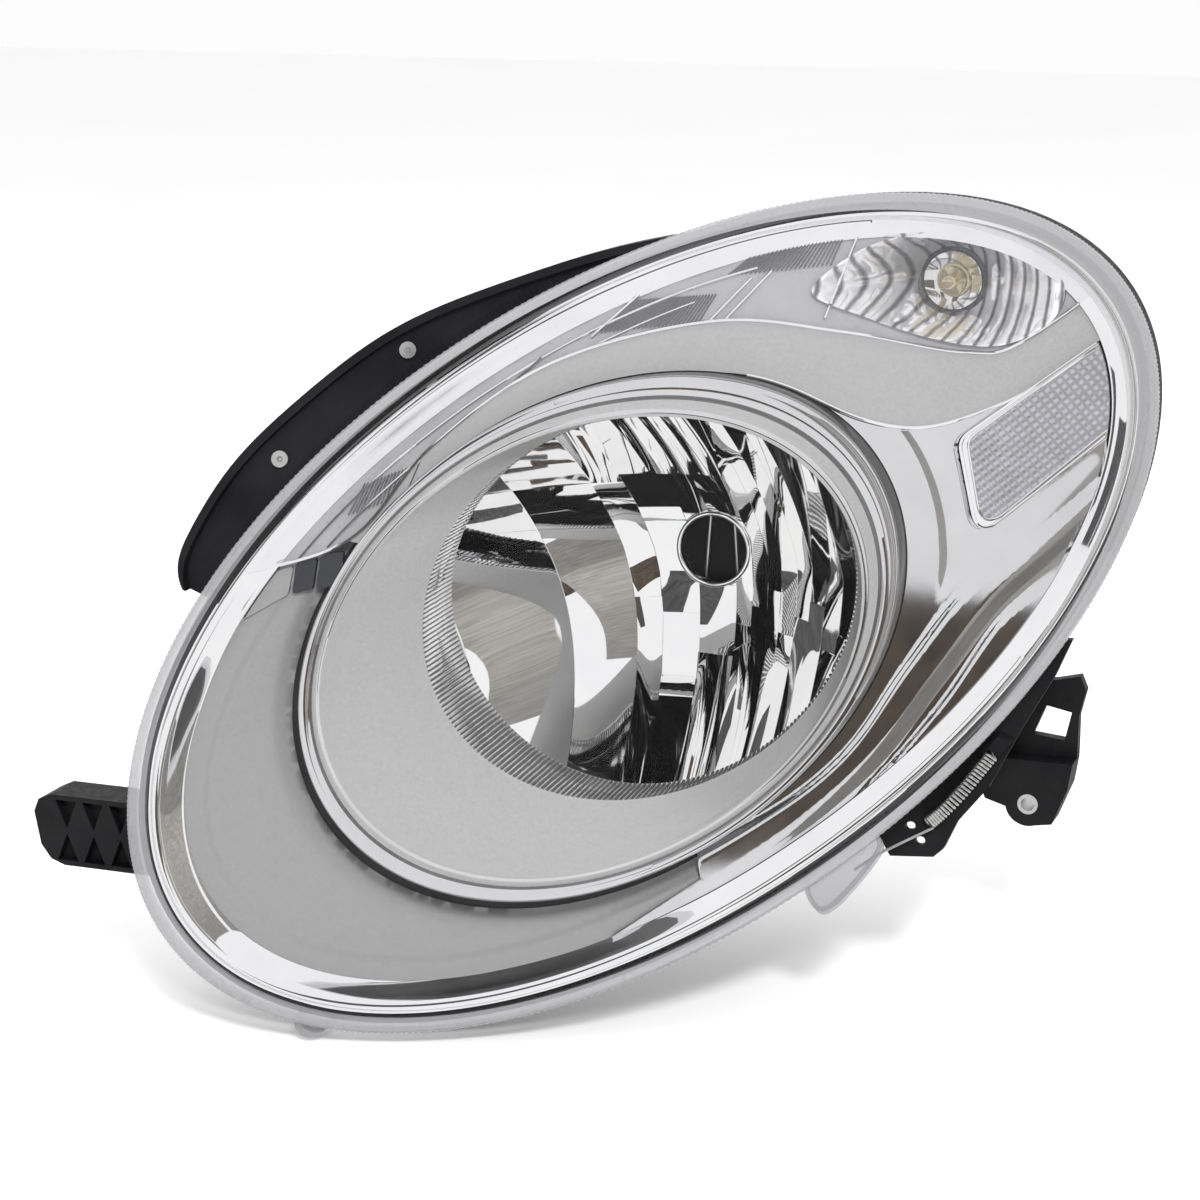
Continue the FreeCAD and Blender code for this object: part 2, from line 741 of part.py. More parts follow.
holder = turned("turn_signal_bulb_holder", [
    ("7.7", "32"),
    ("sizes.holder_radius", "32"),
    ("sizes.holder_radius", "sizes.pod_back_y + 7.8"),
    ("sizes.holder_radius + 5", "sizes.pod_back_y + 7.8"),
    ("sizes.holder_radius + 5", "sizes.pod_back_y + 11"),
    ("13", "sizes.pod_back_y + 11"),
    ("13", "sizes.pod_back_y + 22"),
    ("10", "sizes.pod_back_y + 22"),
    ("10", "sizes.pod_back_y + 40"),
    ("8", "sizes.pod_back_y + 40"),
    ("8", "sizes.pod_back_y + 26"),
    ("0", "sizes.pod_back_y + 26"),
    ("0", "sizes.pod_back_y - 4"),
    ("7.7", "sizes.pod_back_y - 4"),
], ("sizes.turn_x", "0", "sizes.turn_z"))
front_pad(holder, "holder_wings", [block_outline("-18.5", "18.5", "-1.6", "1.6")],
          "sizes.pod_back_y + 10", "sizes.pod_back_y + 20")
turned("holder_seal_ring", [
    ("sizes.holder_radius + 0.1", "sizes.pod_back_y + 6.4"),
    ("sizes.holder_radius + 3.6", "sizes.pod_back_y + 6.4"),
    ("sizes.holder_radius + 3.6", "sizes.pod_back_y + 7.8"),
    ("sizes.holder_radius + 0.1", "sizes.pod_back_y + 7.8"),
], ("sizes.turn_x", "0", "sizes.turn_z"))
turned("turn_signal_bulb_base", [
    ("0", "24"),
    ("7.6", "24"),
    ("7.6", "sizes.pod_back_y - 5"),
    ("0", "sizes.pod_back_y - 5"),
], ("sizes.turn_x", "0", "sizes.turn_z"))

globe = doc.addObject("Part::Sphere", "globe")
globe.setExpression("Radius", "sizes.globe_radius")
globe.setExpression("Placement.Base.y", "sizes.globe_y")
neck = doc.addObject("Part::Cylinder", "globe_neck")
neck.Radius = 7.0
neck.setExpression("Height", "24 - sizes.globe_y")
neck.Placement = FreeCAD.Placement(V(0, 0, 0), FreeCAD.Rotation(V(1, 0, 0), -90))
neck.setExpression("Placement.Base.y", "sizes.globe_y")
glass = doc.addObject("Part::Fuse", "turn_signal_bulb_glass")
glass.Base = globe
glass.Tool = neck
glass.Label = "turn_signal_bulb_glass"
glass.setExpression("Placement.Base.x", "sizes.turn_x")
glass.setExpression("Placement.Base.z", "sizes.turn_z")
PARTS.append(glass)

# ---------------------------------------------------------------- main reflector and its aiming gear


def bowl_section(offset):
    """Half section of the paraboloid, moved back by a wall measured square to it."""
    focal = size("focal_length")
    start = size("seat_hole_radius") - 3.0
    stop = size("reflector_radius") + 12.0
    points = []
    count = 9
    for step in range(count):
        radius = start + (stop - start) * step / (count - 1)
        slope = radius / (2.0 * focal)
        points.append(V(radius, -radius * radius / (4.0 * focal) + offset * math.sqrt(1 + slope * slope), 0))
    return points


def bowl_space(offset):
    """Everything in front of the paraboloid, as one solid."""
    points = bowl_section(offset)
    curve = Part.BSplineCurve()
    curve.interpolate(Points=points)
    first = points[0]
    last = points[-1]
    edges = [
        curve.toShape(),
        Part.LineSegment(last, V(last.x, -FAR, 0)).toShape(),
        Part.LineSegment(V(last.x, -FAR, 0), V(0, -FAR, 0)).toShape(),
        Part.LineSegment(V(0, -FAR, 0), V(0, first.y, 0)).toShape(),
        Part.LineSegment(V(0, first.y, 0), first).toShape(),
    ]
    return Part.Face(Part.Wire(edges)).revolve(V(0, 0, 0), V(0, 1, 0), 360)


def main_reflector():
    """Round bowl, cut to a slanted rim, with the bulb neck and three bosses behind it."""
    wall = size("reflector_wall")
    inside = bowl_space(0.0)
    outside = bowl_space(wall)
    radius = size("reflector_radius")
    rim = cylinder(radius, -FAR, FAR, -6.0, -6.0)
    body = outside.common(rim).common(slab(flat_depth(14.0), FAR))
    body = body.fuse(cylinder(size("seat_outer_radius"), -6.0, size("seat_start_y") + 6.0))
    aim = size("aim_y")
    socket = size("socket_radius")
    for x, z in ADJUSTERS + [PIVOT]:
        boss = cylinder(socket + 2.8, -80.0, aim + 3.5, x, z)
        body = body.fuse(boss.common(slab(flat_depth(14.0), FAR)))
    body = body.cut(inside)
    for x, z in ADJUSTERS:
        body = body.cut(cylinder(socket, aim - 8.0, aim + 4.0, x, z))
    play = size("pivot_play")
    pocket = Part.makeSphere(socket + play, V(PIVOT[0], aim, PIVOT[1]))
    pocket = pocket.fuse(Part.makeCone(6.5, 9.5, 6.0, V(PIVOT[0], aim + 1.0, PIVOT[1]), V(0, 1, 0)))
    body = body.cut(pocket)
    body = body.cut(cylinder(size("seat_hole_radius"), -20.0, 20.0))
    body = body.cut(cylinder(SEAT_POCKET, size("seat_start_y"), 20.0))
    for x in RIVETS:
        body = body.cut(cylinder(1.0, size("seat_start_y"), 20.0, x))
    return body


RIVETS = (-24.2, 24.2)
SEAT_POCKET = size("seat_bore_radius") + 2.4
keep("main_reflector", largest_solid(main_reflector()))


def bulb_seat_ring():
    """Steel ring that the bulb's flange sits in, with two ears for the clip wire and a catch post."""
    start = size("seat_start_y")
    flange = start + 6.0
    end = size("seat_end_y") + 0.2
    body = cylinder(SEAT_POCKET - 0.05, start, end)
    body = body.fuse(cylinder(size("seat_outer_radius") - 0.5, flange, end))
    pivot_z = size("clip_pivot_z")
    body = body.fuse(box((-15.0, flange, pivot_z - 4.0), (15.0, end, -18.0)))
    ear_top = size("clip_y") + 2.4
    for side in (-12.5, 12.5):
        body = body.fuse(box((side - 1.0, end - 0.6, pivot_z - 2.6), (side + 1.0, ear_top, pivot_z + 4.0)))
    body = body.fuse(box((-5.0, end - 0.6, 23.4), (5.0, size("clip_y") + 1.6, 24.8)))
    body = body.cut(cylinder(size("seat_bore_radius"), start - 1, end + 8))
    bore = Part.makeCylinder(size("clip_wire") + 0.05, 40.0, V(-20, size("clip_y"), pivot_z), V(1, 0, 0))
    for x in RIVETS:
        body = body.cut(cylinder(1.0, flange - 1, end + 1, x))
    return body.cut(bore)


keep("bulb_seat_ring", bulb_seat_ring())
group("seat_rivets", [
    cylinder(0.98, size("seat_start_y") + 1.0, size("seat_end_y") + 0.2, x)
    .fuse(cylinder(2.0, size("seat_end_y") + 0.2, size("seat_end_y") + 1.2, x))
    for x in RIVETS
])


def wire_run(points, radius):
    """Round wire along straight runs, with a ball at each bend."""
    body = None
    for start, end in zip(points, points[1:]):
        way = end - start
        run = Part.makeCylinder(radius, way.Length, start, way)
        body = run if body is None else body.fuse(run)
    for bend in points[1:-1]:
        body = body.fuse(Part.makeSphere(radius, bend))
    return body


def bulb_retaining_clip():
    """Bent spring wire: a pivot bar at the bottom, two legs and a finger loop at the top."""
    y = size("clip_y")
    low = size("clip_pivot_z")
    high = low + size("clip_length")
    path = [
        V(-16.0, y, low), V(-9.0, y, low), V(-5.5, y, high), V(5.5, y, high), V(9.0, y, low), V(16.0, y, low),
    ]
    return wire_run(path, size("clip_wire"))


keep("bulb_retaining_clip", bulb_retaining_clip())

group("adjuster_ball_sockets", [
    cylinder(size("socket_radius") - 0.05, size("aim_y") - 7.9, size("aim_y") + 5.0, x, z)
    .cut(Part.makeSphere(size("ball_radius") + size("ball_play"), V(x, size("aim_y"), z)))
    .cut(Part.makeCone(4.3, 5.4, 5.2, V(x, size("aim_y") + 1.0, z), V(0, 1, 0)))
    for x, z in ADJUSTERS
])

pivot_centre = V(PIVOT[0], size("aim_y"), PIVOT[1])
pivot_shell = Part.makeSphere(size("socket_radius"), pivot_centre)
pivot_shell = pivot_shell.cut(Part.makeSphere(size("ball_radius") + size("pivot_play"), pivot_centre))
pivot_shell = pivot_shell.cut(Part.makeCone(3.7, 6.6, 9.0, pivot_centre, V(0, 1, 0)))
keep("pivot_socket", pivot_shell)


def ball_rod(label, tail_formula, place):
    """A ball on the end of a straight rod along +Y, from Part primitives bound to the sheet."""
    ball = doc.addObject("Part::Sphere", label + "_ball")
    ball.setExpression("Radius", "sizes.ball_radius")
    rod = doc.addObject("Part::Cylinder", label + "_rod")
    rod.setExpression("Radius", "sizes.rod_radius")
    rod.setExpression("Height", tail_formula)
    rod.Placement = FreeCAD.Placement(V(0, 0, 0), FreeCAD.Rotation(V(1, 0, 0), -90))
    joined = doc.addObject("Part::Fuse", label)
    joined.Base = ball
    joined.Tool = rod
    joined.Label = label
    for axis, text in zip("xyz", place):
        joined.setExpression(f"Placement.Base.{axis}", text)
    PARTS.append(joined)
    return joined


ball_rod("pivot_ball_stud", "sizes.back_y + 7 - sizes.aim_y", ("sizes.aim_x", "sizes.aim_y", "sizes.aim_z"))
VERTICAL = ("sizes.aim_x", "-sizes.aim_z")
HORIZONTAL = ("-sizes.aim_x", "sizes.aim_z")
for name, (x_text, z_text) in (("vertical", VERTICAL), ("horizontal", HORIZONTAL)):
    ball_rod(f"{name}_adjuster_rod", "sizes.rod_length", (x_text, "sizes.aim_y", z_text))
    turned(f"{name}_adjuster_bushing", [
        ("sizes.rod_radius + sizes.rod_play", "sizes.back_y - 6"),
        ("sizes.bushing_radius", "sizes.back_y - 6"),
        ("sizes.bushing_radius", "sizes.back_y + 8.2"),
        ("sizes.bushing_radius + 3", "sizes.back_y + 8.2"),
        ("sizes.bushing_radius + 3", "sizes.back_y + 10"),
        ("sizes.rod_radius + sizes.rod_play", "sizes.back_y + 10"),
    ], (x_text, "0", z_text))
    knob = turned(f"{name}_adjuster_knob", [
        ("sizes.rod_radius + sizes.rod_play", "0"),
        ("sizes.knob_radius", "0"),
        ("sizes.knob_radius", "sizes.knob_width"),
        ("5.5", "sizes.knob_width"),
        ("5.5", "sizes.knob_width + 4"),
        ("sizes.rod_radius + sizes.rod_play", "sizes.knob_width + 4"),
    ], (x_text, "sizes.knob_start_y", z_text))
    grip_flutes(knob, f"{name}_grip", "1.6", "sizes.knob_radius + 0.4", 12, "sizes.knob_width")

boot = turned("dust_boot", [
    ("sizes.collar_radius + 1.6 + sizes.boot_gap", "sizes.back_y + 5"),
    ("sizes.collar_radius + 2 + sizes.boot_wall", "sizes.back_y + 5"),
    ("sizes.collar_radius + 2 + sizes.boot_wall", "sizes.collar_end_y + 4"),
    ("54", "sizes.collar_end_y + 11"),
    ("50", "sizes.boot_end_y - 4"),
    ("46", "sizes.boot_end_y"),
    ("0", "sizes.boot_end_y"),
    ("0", "sizes.boot_end_y - sizes.boot_wall"),
    ("44.5", "sizes.boot_end_y - sizes.boot_wall"),
    ("47.4", "sizes.boot_end_y - 5.5"),
    ("51.4", "sizes.collar_end_y + 9.5"),
    ("sizes.collar_radius + 1.6 + sizes.boot_gap", "sizes.collar_end_y + 3"),
], ("0", "0", "0"))
front_pad(boot, "boot_tab", [block_outline("-12", "12", "-2", "2")],
          "sizes.boot_end_y - 1", "sizes.boot_end_y + 12")
turned("breather_cap", [
    ("7.1", "sizes.back_y + 3"),
    ("9", "sizes.back_y + 3"),
    ("9", "sizes.back_y + 13"),
    ("7", "sizes.back_y + 15"),
    ("0", "sizes.back_y + 15"),
    ("0", "sizes.back_y + 12.5"),
    ("7.1", "sizes.back_y + 12.5"),
], (str(BREATHER[0][0]), "0", str(BREATHER[0][1])))

# ---------------------------------------------------------------- outside: shroud, arm, bracket, spring

SHROUD_EDGE = [
    (-196.5, 3.0), (-199.5, 15.0), (-195.0, 30.0), (-178.0, 60.0), (-152.0, 88.0), (-115.0, 118.0),
    (-70.0, 138.5), (-20.0, 154.5), (12.0, 160.0),
]
LIP_SHIFT = (2.6, -3.0)  # moves the shroud's outline inwards by the width of its raised lip


def shroud_region(shift_x, shift_z, reach):
    """The shroud's outline, moved by a shift, as a bar along Y."""
    edge = [(x + shift_x, z + shift_z) for x, z in SHROUD_EDGE]
    return prism(closed_region(edge, [(10.0, 120.0), (-120.0, 60.0), (-176.0, -6.0)]), -reach, reach)


shroud_bar = shroud_region(0.0, 0.0, FAR).cut(prism(LENS.grown(-1.1).wire(), -LONG, LONG))
shroud = panel(shroud_bar, SHROUD_DEPTH, SHROUD_WALL)
lip_bar = shroud_bar.cut(shroud_region(*LIP_SHIFT, LONGER))
shroud = shroud.fuse(panel(lip_bar, SHROUD_DEPTH - 5.0, SHROUD_WALL + 8.0))
for place, way in SHROUD_SEATS:
    start = V(*place) - V(*way) * 6.0
    shroud = shroud.cut(Part.makeCylinder(SCREW_HOLE, 16.0, start, V(*way)))
keep("upper_shroud", largest_solid(shroud))

arm = new_body("inner_mounting_arm")
ARM_BAYS = 4
front_pad(arm, "arm_bar", [[
    ("sizes.arm_root_x", "sizes.arm_top_z - sizes.arm_height"),
    ("sizes.arm_root_x", "sizes.arm_top_z"),
    ("sizes.arm_tip_x + 9", "sizes.arm_top_z"),
    ("sizes.arm_tip_x + 2.5", "sizes.arm_top_z - 3"),
    ("sizes.arm_tip_x", "sizes.arm_top_z - 9"),
    ("sizes.arm_tip_x + 3", "sizes.arm_top_z - sizes.arm_height + 9"),
    ("sizes.arm_tip_x + 8", "sizes.arm_top_z - sizes.arm_height + 2.5"),
    ("sizes.arm_tip_x + 15", "sizes.arm_top_z - sizes.arm_height"),
]], "sizes.arm_front_y", "sizes.arm_back_y")
front_pad(arm, "arm_flange", [block_outline(
    "sizes.arm_root_x", "sizes.arm_root_x + 3", "sizes.arm_top_z - sizes.arm_height", "sizes.arm_top_z",
)], "sizes.arm_front_y", "sizes.arm_back_y + 16")
bays = []
for bay in range(ARM_BAYS):
    left = f"sizes.arm_root_x - 4 - {bay} * 14"
    right = f"sizes.arm_root_x - 15 - {bay} * 14"
    middle = f"sizes.arm_root_x - 9.5 - {bay} * 14"
    top = "sizes.arm_top_z - sizes.arm_wall"
    upper_mid = "sizes.arm_top_z - sizes.arm_height / 2 + sizes.arm_wall / 2"
    lower_mid = "sizes.arm_top_z - sizes.arm_height / 2 - sizes.arm_wall / 2"
    bottom = "sizes.arm_top_z - sizes.arm_height + sizes.arm_wall"
    bays.append([(left, top), (right, top), (middle, upper_mid)])
    bays.append([(left, bottom), (right, bottom), (middle, lower_mid)])
front_pocket(arm, "arm_bays", bays, "sizes.arm_front_y", "sizes.arm_front_y + 5")
side_holes = outline_sketch(arm, "arm_holes_outline", [
    ("-154", "-107", "1.85"),
    ("-154", "-123", "1.85"),
], "YZ_Plane")
side_holes.setExpression("AttachmentOffset.Base.z", "sizes.arm_root_x + 4")
before_holes = arm.Shape.Volume
arm_holes = arm.newObject("PartDesign::Pocket", "arm_holes")
arm_holes.Profile = side_holes
arm_holes.Length = 6.0
doc.recompute()
if arm.Shape.Volume > before_holes - 10.0:
    raise RuntimeError("the arm's screw holes cut nothing")

bracket = new_body("outer_mounting_bracket")
front_pad(bracket, "bracket_frame", [
    [
        ("sizes.bracket_x - 24", "sizes.bracket_z + 28"),
        ("sizes.bracket_x + 5", "sizes.bracket_z + 30"),
        ("sizes.bracket_x + 17", "sizes.bracket_z + 33"),
        ("sizes.bracket_x + 20", "sizes.bracket_z + 26"),
        ("sizes.bracket_x + 17", "sizes.bracket_z + 13"),
        ("sizes.bracket_x + 17", "sizes.bracket_z - 7"),
        ("sizes.bracket_x + 15", "sizes.bracket_z - 21"),
        ("sizes.bracket_x + 8", "sizes.bracket_z - 39"),
        ("sizes.bracket_x - 4", "sizes.bracket_z - 41"),
        ("sizes.bracket_x - 15", "sizes.bracket_z - 32"),
        ("sizes.bracket_x - 25", "sizes.bracket_z - 29"),
        ("sizes.bracket_x - 31", "sizes.bracket_z - 15"),
    ],
    [
        ("sizes.bracket_x - 5", "sizes.bracket_z + 2"),
        ("sizes.bracket_x + 1", "sizes.bracket_z + 17"),
        ("sizes.bracket_x + 13.5", "sizes.bracket_z + 14.5"),
        ("sizes.bracket_x + 10.5", "sizes.bracket_z + 0.5"),
    ],
], "sizes.bracket_front_y", "sizes.bracket_back_y")
front_pad(bracket, "bracket_block", [[
    ("sizes.bracket_x - 31", "sizes.bracket_z - 8"),
    ("sizes.bracket_x + 17", "sizes.bracket_z - 8"),
    ("sizes.bracket_x + 15", "sizes.bracket_z - 21"),
    ("sizes.bracket_x + 8", "sizes.bracket_z - 39"),
    ("sizes.bracket_x - 4", "sizes.bracket_z - 41"),
    ("sizes.bracket_x - 15", "sizes.bracket_z - 32"),
    ("sizes.bracket_x - 25", "sizes.bracket_z - 29"),
    ("sizes.bracket_x - 31", "sizes.bracket_z - 15"),
]], "sizes.bracket_front_y - 12", "sizes.bracket_back_y")
front_pad(bracket, "bracket_beam", [block_outline(
    "sizes.bracket_foot_x + 17", "sizes.bracket_x - 20", "sizes.bracket_z + 10", "sizes.bracket_z + 28",
)], "sizes.bracket_front_y", "sizes.bracket_back_y")
front_pad(bracket, "bracket_riser", [block_outline(
    "sizes.bracket_foot_x + 17", "sizes.bracket_foot_x + 22", "sizes.bracket_z + 14", "sizes.bracket_z + 44",
)], "sizes.back_y + 0.2", "sizes.bracket_back_y")
front_pad(bracket, "bracket_foot", [
    block_outline(
        "sizes.bracket_foot_x", "sizes.bracket_foot_x + 22", "sizes.bracket_z + 14", "sizes.bracket_z + 46",
    ),
    ("95", "-52", "1.85"),
    ("95", "-68", "1.85"),
], "sizes.back_y + 0.2", "sizes.back_y + 4.2")
front_pad(bracket, "bracket_boss", [
    ("sizes.bracket_x - 4", "sizes.bracket_z - 30", "11"),
], "sizes.bracket_front_y - 12", "sizes.bracket_back_y + 4")
front_pocket(bracket, "bracket_bore", [
    ("sizes.bracket_x - 4", "sizes.bracket_z - 30", "sizes.sleeve_radius + 0.02"),
], "sizes.bracket_front_y - 13", "sizes.bracket_back_y + 5")

sleeve = size("sleeve_radius")
bolt = size("bolt_radius")
group("mounting_sleeves", [
    tube(sleeve, bolt, size("back_y"), size("boss_end_y"), x, z) for x, z in REAR_FIXINGS
] + [
    tube(sleeve, bolt, size("bracket_front_y") - 12, size("bracket_back_y") + 4,
         size("bracket_x") - 4, size("bracket_z") - 30)
])
group("shroud_screws", [screw(place, way, 7.0) for place, way in SHROUD_SEATS])
group("arm_screws", [screw(place, way, 12.0) for place, way in ARM_SCREWS])
group("bracket_screws", [screw(place, way, 7.0) for place, way in BRACKET_SEATS])

SPRING_AXIS = [  # x, z and depth behind the swept surface
    (148.5, -75.0, 8.0), (143.0, -83.0, 8.0), (136.8, -91.5, 8.0), (130.1, -99.2, 8.0), (125.0, -104.0, 8.0),
]
SPRING_TAIL = [(125.0, -104.0, 8.0), (114.0, -112.5, 6.5), (106.0, -116.5, 4.5), (97.0, -122.5, 2.8)]
SPRING_RADIUS = 4.0
SPRING_WIRE = 0.8


def swept_path(points):
    """Points in space from front-view points with a depth each."""
    return [V(x, surface_y(x, z) + depth, z) for x, z, depth in points]


spring = wire_run(swept_path(SPRING_AXIS), SPRING_RADIUS)
keep("lens_retaining_spring", spring.fuse(wire_run(swept_path(SPRING_TAIL), SPRING_WIRE)))

# ---------------------------------------------------------------- check and export

doc.recompute()
for item in doc.Objects:
    if "Invalid" in item.State or "Error" in item.State:
        raise RuntimeError(f"{item.Label} did not recompute: {item.State}")
os.makedirs("parts", exist_ok=True)
for part in PARTS:
    shape = part.Shape
    if shape.isNull() or not shape.isValid():
        raise RuntimeError(f"{part.Label} has no valid shape")
    print(part.Label, len(shape.Solids), "solids", round(shape.Volume / 1000.0, 2), "cm3")
    shape.exportStep(f"parts/{part.Label}.step")
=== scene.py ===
"""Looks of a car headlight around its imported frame.

Sizes in the shape code are millimetres in the lamp's own frame: -Y is the way the light shines, +X is
outboard, +Z is up, and the origin is the middle of the main bulb seat. "Depth" is the distance behind
the swept surface that the lens, its trim and the bezel follow.
"""
import json
import math

import bmesh
import bpy
import numpy as np
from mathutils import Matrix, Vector
from mathutils.geometry import delaunay_2d_cdt


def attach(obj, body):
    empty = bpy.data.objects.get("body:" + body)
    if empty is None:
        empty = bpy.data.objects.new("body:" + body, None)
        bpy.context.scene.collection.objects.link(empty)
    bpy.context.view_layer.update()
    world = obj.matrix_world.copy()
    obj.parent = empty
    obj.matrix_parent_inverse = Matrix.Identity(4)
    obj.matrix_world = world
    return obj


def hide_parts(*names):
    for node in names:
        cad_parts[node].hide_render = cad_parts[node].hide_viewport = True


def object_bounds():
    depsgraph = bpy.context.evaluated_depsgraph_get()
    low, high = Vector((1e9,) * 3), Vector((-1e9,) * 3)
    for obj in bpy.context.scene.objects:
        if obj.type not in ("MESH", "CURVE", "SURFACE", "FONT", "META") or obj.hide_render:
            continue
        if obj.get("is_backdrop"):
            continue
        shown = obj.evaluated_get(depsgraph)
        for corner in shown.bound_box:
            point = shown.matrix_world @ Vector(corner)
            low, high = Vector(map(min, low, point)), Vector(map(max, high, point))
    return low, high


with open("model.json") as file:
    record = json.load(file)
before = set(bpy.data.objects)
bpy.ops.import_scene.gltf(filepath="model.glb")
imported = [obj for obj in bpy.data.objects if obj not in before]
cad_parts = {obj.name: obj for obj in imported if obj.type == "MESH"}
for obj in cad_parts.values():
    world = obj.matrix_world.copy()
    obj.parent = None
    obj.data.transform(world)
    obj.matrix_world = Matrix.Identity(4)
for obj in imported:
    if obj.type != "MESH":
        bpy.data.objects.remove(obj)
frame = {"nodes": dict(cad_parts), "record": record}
CAD_LOW, CAD_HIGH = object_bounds()
MM = 0.001
TAU = 2.0 * math.pi

# ---- swept surface and ovals


def surface_y(x, z):
    """The swept surface that the lens rim and the bezel follow."""
    return -115.0 + 0.42 * x + 0.25 * z + 0.0005 * x * x + 0.0003 * z * z


class Oval:
    """Ellipse in the XZ plane, with its long axis tilted up from +X."""

    def __init__(self, x, z, tilt, long, short):
        self.x = x
        self.z = z
        self.tilt = tilt
        self.long = long
        self.short = short

    def grown(self, margin):
        """The same oval with both half axes longer by a margin."""
        return Oval(self.x, self.z, self.tilt, self.long + margin, self.short + margin)

    def points(self, turns, share=1.0):
        """Points at the given turns from +X; share 0 is the centre and 1 the oval."""
        lean = math.radians(self.tilt)
        phase = turns - lean
        along = share * self.long * np.cos(phase)
        across = share * self.short * np.sin(phase)
        x = self.x + along * math.cos(lean) - across * math.sin(lean)
        z = self.z + along * math.sin(lean) + across * math.cos(lean)
        return x, z

    def share(self, x, z):
        """0 at the centre, 1 on the oval, above 1 outside it."""
        lean = math.radians(self.tilt)
        dx = x - self.x
        dz = z - self.z
        along = dx * math.cos(lean) + dz * math.sin(lean)
        across = -dx * math.sin(lean) + dz * math.cos(lean)
        return np.sqrt((along / self.long) ** 2 + (across / self.short) ** 2)

    def outside(self, x, z):
        """Roughly how far a point lies outside the oval, in millimetres."""
        return (self.share(x, z) - 1.0) * math.sqrt(self.long * self.short)


LENS = Oval(-1.6, -6.8, 36.5, 237.5, 145.8)
RING_OUTER = Oval(-14.0, -15.0, 35.5, 130.5, 105.5)
RING_LIP = Oval(-15.6, -17.5, 28.8, 114.8, 95.0)
RING_HOLE = Oval(-1.9, -4.1, 17.3, 90.9, 84.9)
FLUTE_END = Oval(-2.4, -3.6, 17.3, 90.4, 84.4)
# Outline of the black sheet that paints the ring's shadow, shifted to the lower inboard side where the shadow
# falls.
RING_SHADOW_RIM = Oval(-23.0, -22.5, 35.5, 132.5, 107.5)


def turns_of(count):
    return np.arange(count) * TAU / count


def on_surface(x, z, depth):
    """Array of points at a depth behind the swept surface."""
    x = np.asarray(x, float)
    z = np.broadcast_to(np.asarray(z, float), x.shape)
    y = surface_y(x, z) + depth
    return np.stack([x, y, z], -1)


def lifted(line, depth):
    """The same for a line or loop of (x, z) points."""
    return on_surface(line[:, 0], line[:, 1], depth)


def circle(centre, radius, y, count):
    """Points round a line along Y through centre = (x, z)."""
    turns = turns_of(count)
    x = centre[0] + radius * np.cos(turns)
    z = centre[1] + radius * np.sin(turns)
    return np.stack([x, np.full(count, float(y)), z], -1)


def smooth_step(value, low, high):
    """0 up to low, 1 from high on, and a smooth rise between."""
    t = np.clip((value - low) / (high - low), 0.0, 1.0)
    return t * t * (3.0 - 2.0 * t)


def spline(points, count, closed=False):
    """Points along a smooth curve through the given ones (Catmull-Rom)."""
    points = np.asarray(points, float)
    if closed:
        padded = np.vstack([points[-1], points, points[0], points[1]])
    else:
        padded = np.vstack([2 * points[0] - points[1], points, 2 * points[-1] - points[-2]])
    spans = len(padded) - 3
    total = np.linspace(0.0, spans, count, endpoint=not closed)
    index = np.minimum(total.astype(int), spans - 1)
    t = (total - index)[:, None]
    a, b, c, d = (padded[index + step] for step in range(4))
    square = 2 * a - 5 * b + 4 * c - d
    cube = 3 * b - a - 3 * c + d
    return 0.5 * (2 * b + (c - a) * t + square * t ** 2 + cube * t ** 3)


def distance_to(curve, x, z):
    """Signed distance of points from a curve: positive on its left."""
    start = curve[:-1]
    run = curve[1:] - start
    best = np.full(np.shape(x), 1e9)
    signed = np.zeros(np.shape(x))
    for (sx, sz), (rx, rz) in zip(start, run):
        length = rx * rx + rz * rz
        t = np.clip(((x - sx) * rx + (z - sz) * rz) / length, 0.0, 1.0)
        dx = x - sx - t * rx
        dz = z - sz - t * rz
        far = np.hypot(dx, dz)
        side = np.sign(rx * (z - sz) - rz * (x - sx))
        nearer = far < best
        best = np.where(nearer, far, best)
        signed = np.where(nearer, far * side, signed)
    return signed


def inside_loop(loop, x, z):
    """True for points inside a closed loop."""
    result = np.zeros(np.shape(x), bool)
    ends = np.roll(loop, -1, 0)
    for (ax, az), (bx, bz) in zip(loop, ends):
        if az == bz:
            continue
        crosses = (az > z) != (bz > z)
        result ^= crosses & (x < (bx - ax) * (z - az) / (bz - az) + ax)
    return result


def from_cut(loop):
    """Points of a loop with a piece cut out, in order and starting after the cut."""
    gaps = np.hypot(*(loop - np.roll(loop, 1, 0)).T)
    return np.roll(loop, -np.argmax(gaps), 0)


# ---- mesh helpers

WELD = 0.0005  # points of one piece that are closer than this become one


